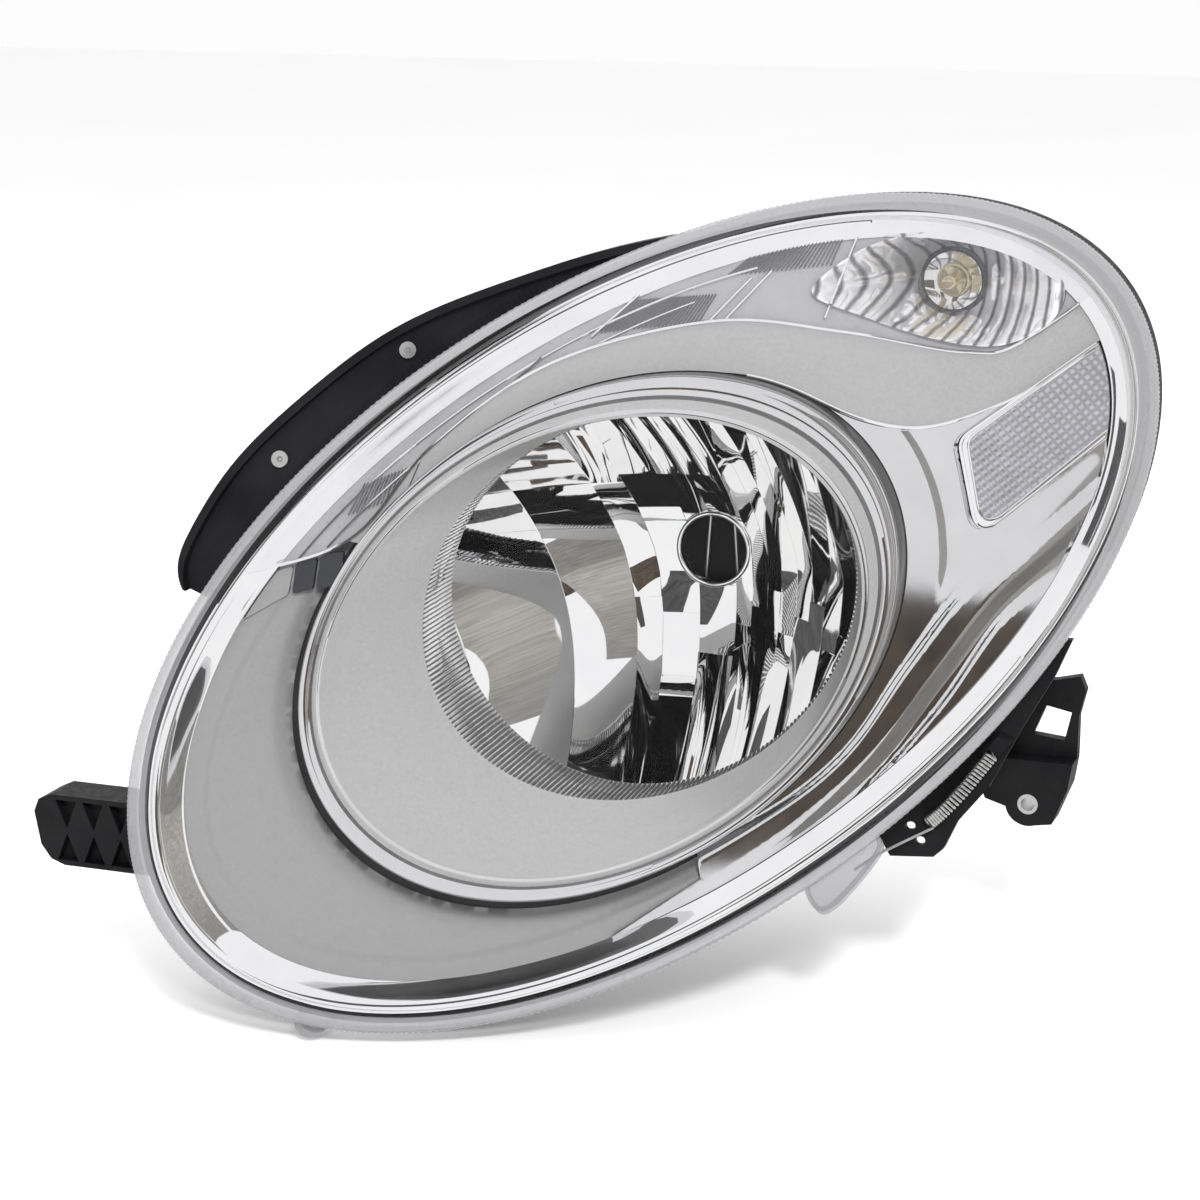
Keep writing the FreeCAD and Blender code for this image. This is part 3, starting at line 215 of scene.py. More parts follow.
class Mesh:
    """Points in millimetres and faces with a material number each."""

    def __init__(self):
        self.points = []
        self.faces = []
        self.slots = []
        self.count = 0

    def add(self, points, faces, slots=None):
        """Adds points, and faces that count from the first of them."""
        points = np.asarray(points, float).reshape(-1, 3)
        self.points.append(points)
        self.faces.extend(tuple(int(corner) + self.count for corner in face) for face in faces)
        self.slots.extend(slots or [0] * len(faces))
        self.count += len(points)

    def grid(self, rows, wrap=False, closed=False, row_slots=None):
        """Faces between rows of points; wrap joins each row's ends, closed the last row to the first."""
        rows = np.asarray(rows, float)
        lines, count, _ = rows.shape
        faces = []
        slots = []
        for line in range(lines if closed else lines - 1):
            after = (line + 1) % lines
            slot = row_slots[line] if row_slots else 0
            for k in range(count if wrap else count - 1):
                m = (k + 1) % count
                faces.append((line * count + k, line * count + m, after * count + m, after * count + k))
                slots.append(slot)
        self.add(rows, faces, slots)

    def block(self, front, back):
        """Closed solid between two grids of the same size."""
        front = np.asarray(front, float)
        back = np.asarray(back, float)
        lines, count, _ = front.shape
        size = lines * count
        faces = []
        for line in range(lines - 1):
            for k in range(count - 1):
                a = line * count + k
                b = a + count
                faces.append((a, a + 1, b + 1, b))
                faces.append((size + a, size + b, size + b + 1, size + a + 1))
        edge = list(range(count))
        edge += [line * count + count - 1 for line in range(1, lines)]
        edge += [(lines - 1) * count + k for k in range(count - 2, -1, -1)]
        edge += [line * count for line in range(lines - 2, 0, -1)]
        for a, b in zip(edge, edge[1:] + edge[:1]):
            faces.append((a, size + a, size + b, b))
        self.add(np.concatenate([front.reshape(-1, 3), back.reshape(-1, 3)]), faces)

    def tube(self, path, radius, sides, closed=False):
        """Round bar along points, with closed ends or joined into a ring."""
        path = np.asarray(path, float)
        count = len(path)
        if closed:
            ways = np.roll(path, -1, 0) - np.roll(path, 1, 0)
        else:
            ways = np.gradient(path, axis=0)
        ways /= np.linalg.norm(ways, axis=1)[:, None]
        side = np.cross(ways[0], (0.31, 0.17, 0.93))
        rows = []
        angles = turns_of(sides)[:, None]
        for centre, way in zip(path, ways):
            side = side - way * np.dot(side, way)
            side /= np.linalg.norm(side)
            other = np.cross(way, side)
            rows.append(centre + radius * (np.cos(angles) * side + np.sin(angles) * other))
        start = self.count
        self.grid(rows, wrap=True, closed=closed)
        if not closed:
            last = start + (count - 1) * sides
            self.faces.append(tuple(start + k for k in range(sides - 1, -1, -1)))
            self.faces.append(tuple(last + k for k in range(sides)))
            self.slots.extend([0, 0])

    def lathe(self, profile, centre, count):
        """Solid turned about a line along Y through centre = (x, z); profile is (radius, y) points."""
        self.grid([circle(centre, radius, y, count) for radius, y in profile], wrap=True)

    def build(self, name, body, slot, materials, replaces=(), sharp=35.0):
        """Makes the Blender object, closed and with its faces turned outwards."""
        mesh = bpy.data.meshes.new(name)
        mesh.from_pydata((np.concatenate(self.points) * MM).tolist(), [], self.faces)
        mesh.polygons.foreach_set("material_index", self.slots)
        work = bmesh.new()
        work.from_mesh(mesh)
        bmesh.ops.remove_doubles(work, verts=work.verts, dist=WELD * MM)
        bmesh.ops.dissolve_degenerate(work, edges=work.edges, dist=WELD * MM)
        bmesh.ops.recalc_face_normals(work, faces=work.faces)
        work.to_mesh(mesh)
        work.free()
        mesh.polygons.foreach_set("use_smooth", [True] * len(mesh.polygons))
        mesh.set_sharp_from_angle(angle=math.radians(sharp))
        for material in materials:
            mesh.materials.append(material)
        piece = bpy.data.objects.new(name, mesh)
        bpy.context.scene.collection.objects.link(piece)
        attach(piece, body)
        if replaces:
            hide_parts(*replaces)
        return piece


def region_mesh(loops, rule, spacing, extra=()):
    """Triangles over the space that rule picks from the loops' insides, on an even grid of points."""
    low = np.min([loop.min(0) for loop in loops], 0)
    high = np.max([loop.max(0) for loop in loops], 0)
    columns = np.arange(low[0] + spacing / 2, high[0], spacing)
    rows = np.arange(low[1] + spacing / 2, high[1], spacing * 0.866)
    x, z = np.meshgrid(columns, rows)
    x = x + (np.arange(len(rows)) % 2)[:, None] * spacing / 2

    def within(across, up):
        return rule(*[inside_loop(loop, across, up) for loop in loops])

    keep = within(x, z)
    x = x[keep]
    z = z[keep]
    lines = [np.asarray(line, float) for line in extra]
    for line in list(loops) + lines:
        gap = np.min(np.hypot(x[:, None] - line[None, :, 0], z[:, None] - line[None, :, 1]), 1)
        x = x[gap > 0.5 * spacing]
        z = z[gap > 0.5 * spacing]
    points = [tuple(p) for loop in loops for p in loop]
    edges = []
    start = 0
    for loop in loops:
        edges += [(start + k, start + (k + 1) % len(loop)) for k in range(len(loop))]
        start += len(loop)
    for line in lines:
        points += [tuple(p) for p in line[within(line[:, 0], line[:, 1])]]
    points += list(zip(x, z))
    found = delaunay_2d_cdt([Vector(p) for p in points], edges, [], 0, 1e-4)
    flat = np.array([tuple(v) for v in found[0]])
    faces = np.array([tuple(f) for f in found[2]])
    middle = flat[faces].mean(1)
    faces = faces[within(middle[:, 0], middle[:, 1])]
    used = np.unique(faces)
    order = np.full(len(flat), -1)
    order[used] = np.arange(len(used))
    return flat[used], order[faces]


def panel(mesh, loops, rule, depth, thickness, spacing, extra=()):
    """Closed curved sheet over a region; depth is a number or a function of x and z."""
    flat, faces = region_mesh(loops, rule, spacing, extra)
    x = flat[:, 0]
    z = flat[:, 1]
    near = depth(x, z) if callable(depth) else np.full(len(x), float(depth))
    front = on_surface(x, z, near)
    behind = on_surface(x, z, np.maximum(near + 0.5, np.median(near) + thickness))
    count = len(flat)
    solid = [tuple(face) for face in faces]
    solid += [tuple(count + corner for corner in face[::-1]) for face in faces]
    sides = {}
    for face in faces:
        for a, b in zip(face, np.roll(face, -1)):
            if (b, a) in sides:
                del sides[(b, a)]
            else:
                sides[(a, b)] = True
    solid += [(b, a, count + a, count + b) for a, b in sides]
    mesh.add(np.concatenate([front, behind]), solid)


def oval_loop(oval, count=360):
    return np.stack(oval.points(turns_of(count)), -1)


def lens_loop(inset):
    """Outline at a distance inside the lens rim."""
    return oval_loop(LENS.grown(-inset), 480)


def ring(mesh, rows, count, row_slots=None):
    """Closed ring from rows of (oval, depth); depth is a number or a function of the turn."""
    turns = turns_of(count)
    lines = []
    for oval, depth in rows:
        x, z = oval.points(turns)
        lines.append(on_surface(x, z, depth(turns) if callable(depth) else depth))
    mesh.grid(lines, wrap=True, closed=True, row_slots=row_slots)


# ---- materials


class Look:
    """A procedural material under construction."""

    def __init__(self, name):
        self.material = bpy.data.materials.new(name)
        self.material.use_nodes = True
        self.nodes = self.material.node_tree.nodes
        self.links = self.material.node_tree.links
        self.shader = self.nodes["Principled BSDF"]
        self.output = self.nodes["Material Output"]
        self.place = self.nodes.new("ShaderNodeTexCoord").outputs["Object"]

    def node(self, kind, **values):
        made = self.nodes.new(kind)
        for key, value in values.items():
            if hasattr(made, key):
                setattr(made, key, value)
            else:
                made.inputs[key.replace("_", " ")].default_value = value
        return made

    def noise(self, scale, detail, stretch=(1.0, 1.0, 1.0)):
        place = self.node("ShaderNodeMapping")
        place.inputs["Scale"].default_value = stretch
        self.links.new(self.place, place.inputs["Vector"])
        made = self.node("ShaderNodeTexNoise", Scale=scale, Detail=detail)
        self.links.new(place.outputs["Vector"], made.inputs["Vector"])
        return made.outputs["Fac"]

    def spread(self, source, low, high, start=0.3, end=0.7):
        made = self.node("ShaderNodeMapRange")
        made.inputs["From Min"].default_value = start
        made.inputs["From Max"].default_value = end
        made.inputs["To Min"].default_value = low
        made.inputs["To Max"].default_value = high
        self.links.new(source, made.inputs["Value"])
        return made.outputs["Result"]

    def roughness(self, scale, low, high):
        self.links.new(self.spread(self.noise(scale, 4.0), low, high), self.shader.inputs["Roughness"])

    def mix_colours(self, source, dark, light, start=0.3, end=0.7):
        made = self.node("ShaderNodeMix", data_type="RGBA")
        for socket in made.inputs:
            if socket.name == "A" and socket.type == "RGBA":
                socket.default_value = (*dark, 1.0)
            if socket.name == "B" and socket.type == "RGBA":
                socket.default_value = (*light, 1.0)
        self.links.new(self.spread(source, 0.0, 1.0, start, end), made.inputs["Factor"])
        result = [socket for socket in made.outputs if socket.type == "RGBA"][0]
        self.links.new(result, self.shader.inputs["Base Color"])

    def colour(self, scale, dark, light, stretch=(1.0, 1.0, 1.0)):
        self.mix_colours(self.noise(scale, 3.0, stretch), dark, light)

    def bump(self, source, strength, distance):
        made = self.node("ShaderNodeBump", Strength=strength, Distance=distance)
        self.links.new(source, made.inputs["Height"])
        for shader in self.nodes:
            if "Normal" in shader.inputs and shader.type.startswith("BSDF"):
                self.links.new(made.outputs["Normal"], shader.inputs["Normal"])


def solid_look(name, dark, light, metallic, rough, grain, tint_scale=30.0, coat=0.0, gloss=0.5):
    """Opaque material: cloudy colour, uneven roughness and a fine (scale, strength, depth) grain."""
    look = Look(name)
    look.shader.inputs["Metallic"].default_value = metallic
    look.shader.inputs["Coat Weight"].default_value = coat
    look.shader.inputs["Specular IOR Level"].default_value = gloss
    look.colour(tint_scale, dark, light)
    look.roughness(grain[0] * 0.2, rough[0], rough[1])
    look.bump(look.noise(grain[0], 5.0), grain[1], grain[2])
    return look.material


def fluted_look(name, dark, light, pitch):
    """Mirror with dark lines between wavering upright flutes, painted shade in the creases; pitch is in
    metres.
    """
    look = Look(name)
    look.shader.inputs["Metallic"].default_value = 0.6
    wave = look.node("ShaderNodeTexWave", Scale=TAU / (20.0 * pitch), Distortion=1.5, Detail=2.0)
    wave.inputs["Detail Scale"].default_value = 0.6
    look.links.new(look.place, wave.inputs["Vector"])
    look.mix_colours(wave.outputs["Fac"], dark, light, 0.0, 0.35)
    look.roughness(60.0, 0.04, 0.09)
    look.bump(wave.outputs["Fac"], 0.3, 0.001)
    return look.material


def clear_look(name, tint, haze, haze_rough, gloss, edge, grain, milk=(0.9, 0.9, 0.9),
               mirror_tint=(1.0, 1.0, 1.0)):
    """See-through plastic: tinted passage, a share of milky haze, and gloss that grows at the edges."""
    look = Look(name)
    look.shader.inputs["Base Color"].default_value = (*milk, 1.0)
    look.roughness(grain[0] * 0.3, haze_rough * 0.8, haze_rough * 1.2)
    through = look.node("ShaderNodeBsdfTransparent", Color=(*tint, 1.0))
    body = look.node("ShaderNodeMixShader", Fac=haze)
    look.links.new(through.outputs[0], body.inputs[1])
    look.links.new(look.shader.outputs[0], body.inputs[2])
    mirror = look.node("ShaderNodeBsdfAnisotropic", Roughness=0.03)
    mirror.inputs["Color"].default_value = (*mirror_tint, 1.0)
    facing = look.node("ShaderNodeLayerWeight", Blend=0.35)
    power = look.node("ShaderNodeMath", operation="POWER")
    look.links.new(facing.outputs["Facing"], power.inputs[0])
    power.inputs[1].default_value = 3.0
    amount = look.node("ShaderNodeMath", operation="MULTIPLY_ADD")
    look.links.new(power.outputs[0], amount.inputs[0])
    amount.inputs[1].default_value = edge
    amount.inputs[2].default_value = gloss
    whole = look.node("ShaderNodeMixShader")
    look.links.new(amount.outputs[0], whole.inputs["Fac"])
    look.links.new(body.outputs[0], whole.inputs[1])
    look.links.new(mirror.outputs[0], whole.inputs[2])
    look.bump(look.noise(grain[0], 2.0), grain[1], grain[2])
    look.links.new(whole.outputs[0], look.output.inputs["Surface"])
    return look.material


PLASTIC = solid_look(
    "black_plastic", (0.004, 0.004, 0.005), (0.010, 0.010, 0.011), 0.0, (0.42, 0.6), (1400.0, 0.25, 0.0003),
    gloss=0.16)
CHROME = solid_look(
    "bright_chrome", (0.86, 0.86, 0.87), (0.93, 0.93, 0.93), 1.0, (0.02, 0.06), (60.0, 0.02, 0.0004))
SHEEN = solid_look(
    "soft_chrome", (0.66, 0.66, 0.67), (0.74, 0.74, 0.75), 1.0, (0.05, 0.08), (60.0, 0.02, 0.0004))
MIRROR = solid_look(
    "reflector_mirror", (0.9, 0.9, 0.9), (0.95, 0.95, 0.94), 1.0, (0.01, 0.03), (90.0, 0.015, 0.0003))
SATIN = solid_look(
    "satin_silver", (0.262, 0.26, 0.256), (0.292, 0.29, 0.286), 0.4, (0.40, 0.48), (2600.0, 0.12, 0.0002),
    700.0, 0.12)
# Lighter copy of the matte silver: painted light, used on the wing panel, the main ring and the strip
# backing.
LIT_SATIN = solid_look(
    "satin_painted_lighter", (0.33, 0.328, 0.325), (0.37, 0.368, 0.365), 0.4, (0.36, 0.44), (2600.0, 0.12, 0.0002),
    700.0, 0.12)
# Near-black gloss: painted dark reflection on the ring round the turn bulb hole and on two corner tiles.
PAINTED_DARK_REFLECTION = solid_look(
    "painted_dark_reflection", (0.012, 0.013, 0.016), (0.022, 0.023, 0.027), 0.0, (0.05, 0.1), (60.0, 0.02, 0.0003))
# Dark grey: painted shade in the flute grooves, in the crease of the ring's lip, on the ring's outer wall and
# on the knurl bars.
SHADE_GREY = solid_look(
    "painted_shade_grey", (0.10, 0.10, 0.10), (0.16, 0.16, 0.16), 0.6, (0.1, 0.2), (200.0, 0.05, 0.0003))
STEEL = solid_look(
    "zinc_steel", (0.5, 0.5, 0.5), (0.66, 0.66, 0.65), 1.0, (0.22, 0.38), (500.0, 0.1, 0.0002), 60.0)
RUBBER = solid_look(
    "black_rubber", (0.010, 0.010, 0.010), (0.018, 0.018, 0.019), 0.0, (0.55, 0.75), (900.0, 0.3, 0.0004),
    gloss=0.2)
ACETAL = solid_look(
    "white_acetal", (0.68, 0.67, 0.63), (0.78, 0.77, 0.74), 0.0, (0.35, 0.5), (700.0, 0.1, 0.0003))
NYLON = solid_look(
    "grey_nylon", (0.10, 0.105, 0.11), (0.15, 0.155, 0.16), 0.0, (0.4, 0.55), (900.0, 0.2, 0.0003))
BRASS = solid_look(
    "plated_brass", (0.62, 0.52, 0.32), (0.75, 0.66, 0.45), 1.0, (0.15, 0.3), (400.0, 0.08, 0.0002))
BUTYL = solid_look(
    "butyl_bead", (0.02, 0.02, 0.02), (0.035, 0.035, 0.035), 0.0, (0.6, 0.8), (600.0, 0.3, 0.0005))
PRISM_SILVER = solid_look(
    "prism_silver", (0.38, 0.38, 0.40), (0.46, 0.46, 0.49), 0.7, (0.12, 0.22), (1500.0, 0.08, 0.0002),
    120.0, 0.5)
BUCKET = fluted_look("bucket_mirror", (0.16, 0.16, 0.16), (0.93, 0.93, 0.92), 0.0068)
LENS_CLEAR = clear_look("lens_clear", (0.985, 0.985, 0.99), 0.003, 0.4, 0.004, 0.3, (14.0, 0.03, 0.0006))
LENS_EDGE = clear_look(
    "lens_edge", (0.76, 0.76, 0.77), 0.5, 0.3, 0.03, 0.3, (900.0, 0.1, 0.0003), (0.4, 0.4, 0.41))
LENS_LUG = clear_look(
    "lens_lug", (0.84, 0.84, 0.85), 0.35, 0.3, 0.03, 0.7, (900.0, 0.1, 0.0003), (0.34, 0.34, 0.35),
    (0.5, 0.5, 0.52))
STRIP_CLEAR = clear_look("strip_clear", (0.975, 0.972, 0.985), 0.012, 0.25, 0.03, 0.4, (260.0, 0.05, 0.0003))
# Its edge gloss is tinted near black: painted dark reflection round the globe's edge.
BULB_CLEAR = clear_look(
    "bulb_clear", (0.94, 0.94, 0.92), 0.01, 0.2, 0.03, 0.8, (50.0, 0.02, 0.0003),
    mirror_tint=(0.12, 0.12, 0.12))

CAD_LOOKS = {
    "housing_plastic": PLASTIC, "clear_lens": LENS_CLEAR, "clear_strip": STRIP_CLEAR, "sealant": BUTYL,
    "bright_metal": CHROME, "matte_silver": SATIN, "reflector_metal": MIRROR, "reflex_plastic": PRISM_SILVER,
    "bulb_glass": BULB_CLEAR, "bulb_metal": BRASS, "steel": STEEL, "white_plastic": ACETAL,
    "grey_plastic": NYLON, "boot_rubber": RUBBER,
}
for part in frame["record"]["subparts"]:
    shown = frame["nodes"][part["node"]]
    if not shown.data.materials:
        shown.data.materials.append(None)
    for place in shown.material_slots:
        place.material = CAD_LOOKS[part["material_slot"]]

# ---- front lens

LENS_TEETH = 480
LENS_COLUMNS = LENS_TEETH * 3
LENS_WALL = 3.0
TOOTH_HEIGHT = 0.22
TOOTHED_INSETS = (0.2, 0.7)
FACE_RIM = -8.0
FACE_BULGE = 18.0
MILKY_SHARE = 0.95
RIM_SECTION = [  # inset and depth, from the front edge round the rim and the foot to the inner wall
    (2.2, -8.1), (1.0, -7.5), (0.35, -6.4), (0.25, -4.0), (0.25, 0.0), (0.6, 2.0), (4.6, 2.0), (5.6, 11.4),
    (8.4, 11.4), (9.0, 2.0), (9.0, -3.0),
]


def crown_depth(share):
    """The outside of the lens bulges forward of the swept surface."""
    return FACE_RIM - FACE_BULGE * (1.0 - share ** 4)


def front_lens():
    """Bulged lens with fine teeth round its rim; its edge is milky."""
    turns = turns_of(LENS_COLUMNS)
    teeth = TOOTH_HEIGHT * np.cos(turns * LENS_TEETH)
    rows = []
    slots = []
    for share in np.linspace(0.002, 0.985, 34) ** 0.8:
        rows.append(on_surface(*LENS.points(turns, share), crown_depth(share)))
        slots.append(int(share >= MILKY_SHARE))
    for inset, depth in RIM_SECTION:
        x, z = LENS.grown(-inset).points(turns)
        if TOOTHED_INSETS[0] < inset < TOOTHED_INSETS[1]:
            x = x + teeth * np.cos(turns)
            z = z + teeth * np.sin(turns)
        rows.append(on_surface(x, z, depth))
        slots.append(1)
    inner = LENS.grown(-LENS_WALL - 2.0)
    for share in np.linspace(0.002, 0.955, 26)[::-1] ** 0.8:
        rows.append(on_surface(*inner.points(turns, share), crown_depth(share) + LENS_WALL))
        slots.append(0)
    mesh = Mesh()
    mesh.grid(rows, wrap=True, row_slots=slots)
    last = (len(rows) - 1) * LENS_COLUMNS
    outer_tip = mesh.count
    mesh.add([rows[0].mean(0), rows[-1].mean(0)], [])
    for k in range(LENS_COLUMNS):
        m = (k + 1) % LENS_COLUMNS
        mesh.faces.append((outer_tip, m, k))
        mesh.faces.append((outer_tip + 1, last + k, last + m))
        mesh.slots.extend([0, 0])
    return mesh.build("lens_cover", "housing", "clear_lens", [LENS_CLEAR, LENS_EDGE], ["front_lens"], 50.0)


cover = front_lens()

LUGS = [
    [(-134.0, -184.0), (-131.0, -193.2), (-123.0, -193.2), (-117.0, -183.0)],
    [(80.0, -124.0), (84.5, -140.0), (94.0, -136.0), (109.0, -113.0), (98.0, -105.0)],
]
BEAD_SHRINK = 0.985
lugs = Mesh()
for corners in LUGS:
    loop = spline(corners, 40, closed=True)
    panel(lugs, [loop, oval_loop(LENS.grown(0.2))], lambda a, b: a & ~b, -1.5, 3.0, 2.0)
    edge = from_cut(loop[LENS.outside(loop[:, 0], loop[:, 1]) > 0.5]) * BEAD_SHRINK
    lugs.tube(lifted(edge, 0.0), 1.2, 8)
lugs.build("lens_lugs", "housing", "clear_lens", [LENS_LUG])

# ---- trim and bezel

trim = Mesh()
TRIM_SECTION = [  # inset, depth beside the wing and side panels, depth beside the lower plate
    (8.5, -3.2, -3.2), (9.3, -4.3, -4.3), (11.0, -4.7, -4.7), (13.0, -4.3, -4.3), (14.2, -3.2, -3.0),
    (15.6, -1.9, -0.6), (17.4, -0.4, 2.3), (19.6, 1.3, 5.4), (20.5, 1.8, 6.4), (20.5, 6.0, 8.0),
    (18.8, 6.0, 8.0), (12.6, -1.2, -1.2), (8.5, -1.2, -1.2),
]
TRIM_TURN = math.radians(50.0)


def trim_depth(upper, lower):
    """Depth beside the wing and side panels, going over to the depth beside the lower plate."""
    return lambda turns: lower + (upper - lower) * smooth_step(np.cos(turns - TRIM_TURN), -0.66, -0.4)


ring(trim, [(LENS.grown(-inset), trim_depth(upper, lower)) for inset, upper, lower in TRIM_SECTION], 720)
trim.build("trim_band", "housing", "bright_metal", [CHROME], ["outer_trim"])

WING_TOP = [
    (-176.0, 9.0), (-124.0, 27.0), (-92.0, 68.0), (-45.0, 104.0), (20.0, 121.5),
    (75.0, 116.0), (125.0, 106.2), (150.0, 111.0), (200.0, 150.0),
]
WING_FOOT = [
    (15.0, 99.5), (35.0, 98.0), (55.0, 92.0), (85.0, 78.0), (110.0, 73.5),
    (135.0, 80.0), (160.0, 93.0), (210.0, 130.0),
]
REFLEX_CORNERS = [(125.6, 68.0), (137.5, 23.5), (194.0, 72.5), (188.0, 115.5)]
RING_GAP = 0.5


def rounded_loop(corners, margin, radius):
    """Polygon grown by a margin, with rounded corners."""
    corners = np.asarray(corners, float)
    centre = corners.mean(0)
    reach = np.hypot(*(corners - centre).T)[:, None]
    corners = centre + (corners - centre) * (1.0 + margin / reach)
    points = []
    for before, here, after in zip(np.roll(corners, 1, 0), corners, np.roll(corners, -1, 0)):
        back = (before - here) / np.linalg.norm(before - here)
        ahead = (after - here) / np.linalg.norm(after - here)
        half = 0.5 * math.acos(np.clip(np.dot(back, ahead), -1, 1))
        run = radius / math.tan(half)
        for t in np.linspace(0.0, 1.0, 9):
            point = (1 - t) ** 2 * (here + back * run) + 2 * t * (1 - t) * here + t * t * (here + ahead * run)
            points.append(point)
    return np.array(points)


def resampled(loop, spacing):
    """A closed loop with points at an even spacing."""
    ends = np.vstack([loop, loop[:1]])
    lengths = np.concatenate([[0.0], np.cumsum(np.hypot(*np.diff(ends, axis=0).T))])
    count = max(8, int(lengths[-1] / spacing))
    at = np.linspace(0.0, lengths[-1], count, endpoint=False)
    return np.stack([np.interp(at, lengths, ends[:, 0]), np.interp(at, lengths, ends[:, 1])], -1)


top_curve = spline(WING_TOP, 200)
wing_loop = np.vstack([top_curve, [(260.0, 230.0), (-260.0, 230.0), (-260.0, 9.0)]])
foot_curve = spline(WING_FOOT, 160)
foot_loop = np.vstack([foot_curve, [(260.0, 130.0), (260.0, -260.0), (-80.0, -260.0)]])
lower_loop = np.array([
    (-260.0, -20.0), (-176.0, 8.0), (-124.0, 26.0), (0.0, 0.0), (20.0, -60.0), (34.0, -124.0),
    (-30.0, -170.0), (-60.0, -200.0), (-60.0, -260.0), (-260.0, -260.0),
])
ring_loop = oval_loop(RING_OUTER.grown(RING_GAP))
reflex_loop = resampled(rounded_loop(REFLEX_CORNERS, 0.0, 8.0), 2.0)
reflex_hole = resampled(rounded_loop(REFLEX_CORNERS, RING_GAP, 8.0), 2.0)
narrow_loop = lens_loop(20.8)
ring_shadow_loop = oval_loop(RING_SHADOW_RIM)

STEP_INSETS = (29.5, 30.6)


def lower_depth(x, z):
    """Matte plate with a step that follows the trim and a dip down to the black sheet painted as the ring's
    shadow.
    """
    rise = smooth_step(LENS.grown(-STEP_INSETS[0]).outside(x, z), -1.4, 0.0)
    dip = smooth_step(RING_SHADOW_RIM.outside(x, z), 11.0, 0.0) ** 2
    return 8.3 - 1.3 * rise - 1.2 * smooth_step(RING_OUTER.outside(x, z), 70.0, 0.0) + 4.0 * dip


plate = Mesh()
panel(plate, [lens_loop(18.9), ring_loop, ring_shadow_loop, lower_loop], lambda a, b, c, d: a & ~b & ~c & d,
      lower_depth, 2.2, 2.5, [lens_loop(inset) for inset in STEP_INSETS] + [oval_loop(RING_SHADOW_RIM.grown(3.0))])
plate.build("lower_plate", "housing", "matte_silver", [SATIN], ["lower_bezel"], sharp=60.0)
# Black sheet deep behind the plate round the ring's lower inboard side: painted shadow of the ring.
groove = Mesh()
panel(groove, [ring_shadow_loop, ring_loop, lower_loop], lambda a, b, c: a & ~b & c, 12.0, 2.0, 2.0)
groove.build("ring_shadow_sheet", "housing", "matte_silver", [RUBBER])


def wing_depth(x, z):
    """The wing panel sinks a little towards its foot."""
    return 1.0 + 0.8 * smooth_step(np.abs(distance_to(foot_curve[::4], x, z)), 30.0, 0.0)


wing = Mesh()
panel(wing, [narrow_loop, ring_loop, lower_loop, wing_loop, foot_loop, reflex_hole],
      lambda a, b, c, d, e, f: a & ~b & ~c & ~d & ~e & ~f, wing_depth, 2.0, 4.0)
# The wing takes the lighter copy of the satin: painted light.
wing.build("wing_panel", "housing", "matte_silver", [LIT_SATIN], ["upper_bezel"], sharp=60.0)

RIDGES = [
    [
        (-40.0, -133.0), (9.0, -122.0), (57.0, -95.0), (88.0, -68.0),
        (110.0, -31.0), (132.0, 2.0), (163.0, 27.0), (190.0, 54.0),
    ],
    [
        (-36.0, -148.0), (22.0, -133.0), (60.0, -110.0), (97.0, -75.0),
        (123.0, -36.0), (145.0, -3.0), (168.0, 20.0), (193.0, 46.0),
    ],
    [
        (-36.0, -158.0), (10.0, -146.0), (59.0, -126.0), (98.0, -88.0),
        (128.0, -49.0), (150.0, -12.0), (178.0, 10.0), (200.0, 34.0),
    ],
]
ridge_curves = [spline(points, 90) for points in RIDGES]
ARC = RING_OUTER.grown(15.0)


def side_depth(x, z):
    """Mirror panel: a raised band, a hollow and a ledge between the ridges, and an arc round the ring."""
    first, second, third = (distance_to(curve[::2], x, z) for curve in ridge_curves)
    raised = smooth_step(-first, 0.0, 5.0) - smooth_step(-second, -1.0, 8.0)
    ledge = smooth_step(-third, -1.0, 1.5)
    hollow = np.clip(-second, 0.0, None) * np.clip(third, 0.0, None)
    dish = 0.003 * np.minimum(hollow, 140.0)
    arc = 0.6 * smooth_step(ARC.outside(x, z), -1.2, 1.2) * smooth_step(first, 2.0, 12.0)
    return 4.0 - 1.9 * raised - 1.2 * ledge + dish + arc


side = Mesh()
panel(side, [narrow_loop, ring_loop, lower_loop, foot_loop, reflex_hole],
      lambda a, b, c, d, e: a & ~b & ~c & d & ~e, side_depth, 2.0, 1.4, ridge_curves + [oval_loop(ARC, 300)])
side.build("side_mirror", "housing", "bright_metal", [SHEEN], ["side_bezel"], sharp=60.0)

beads = Mesh()
for curve, depth, radius in ((foot_curve, 1.6, 0.9), (top_curve, 0.6, 0.8)):
    in_trim = LENS.grown(-20.0).share(*curve.T) < 1.0
    off_ring = RING_OUTER.grown(1.0).share(*curve.T) > 1.0
    beads.tube(lifted(curve[in_trim & off_ring], depth), radius, 8)
beads.build("wing_edge_beads", "housing", "bright_metal", [CHROME])

# ---- main ring


def between(first, second, share):
    """Oval part of the way from one oval to another."""
    mix = [a + (b - a) * share for a, b in zip(
        (first.x, first.z, first.tilt, first.long, first.short),
        (second.x, second.z, second.tilt, second.long, second.short),
    )]
    return Oval(*mix)


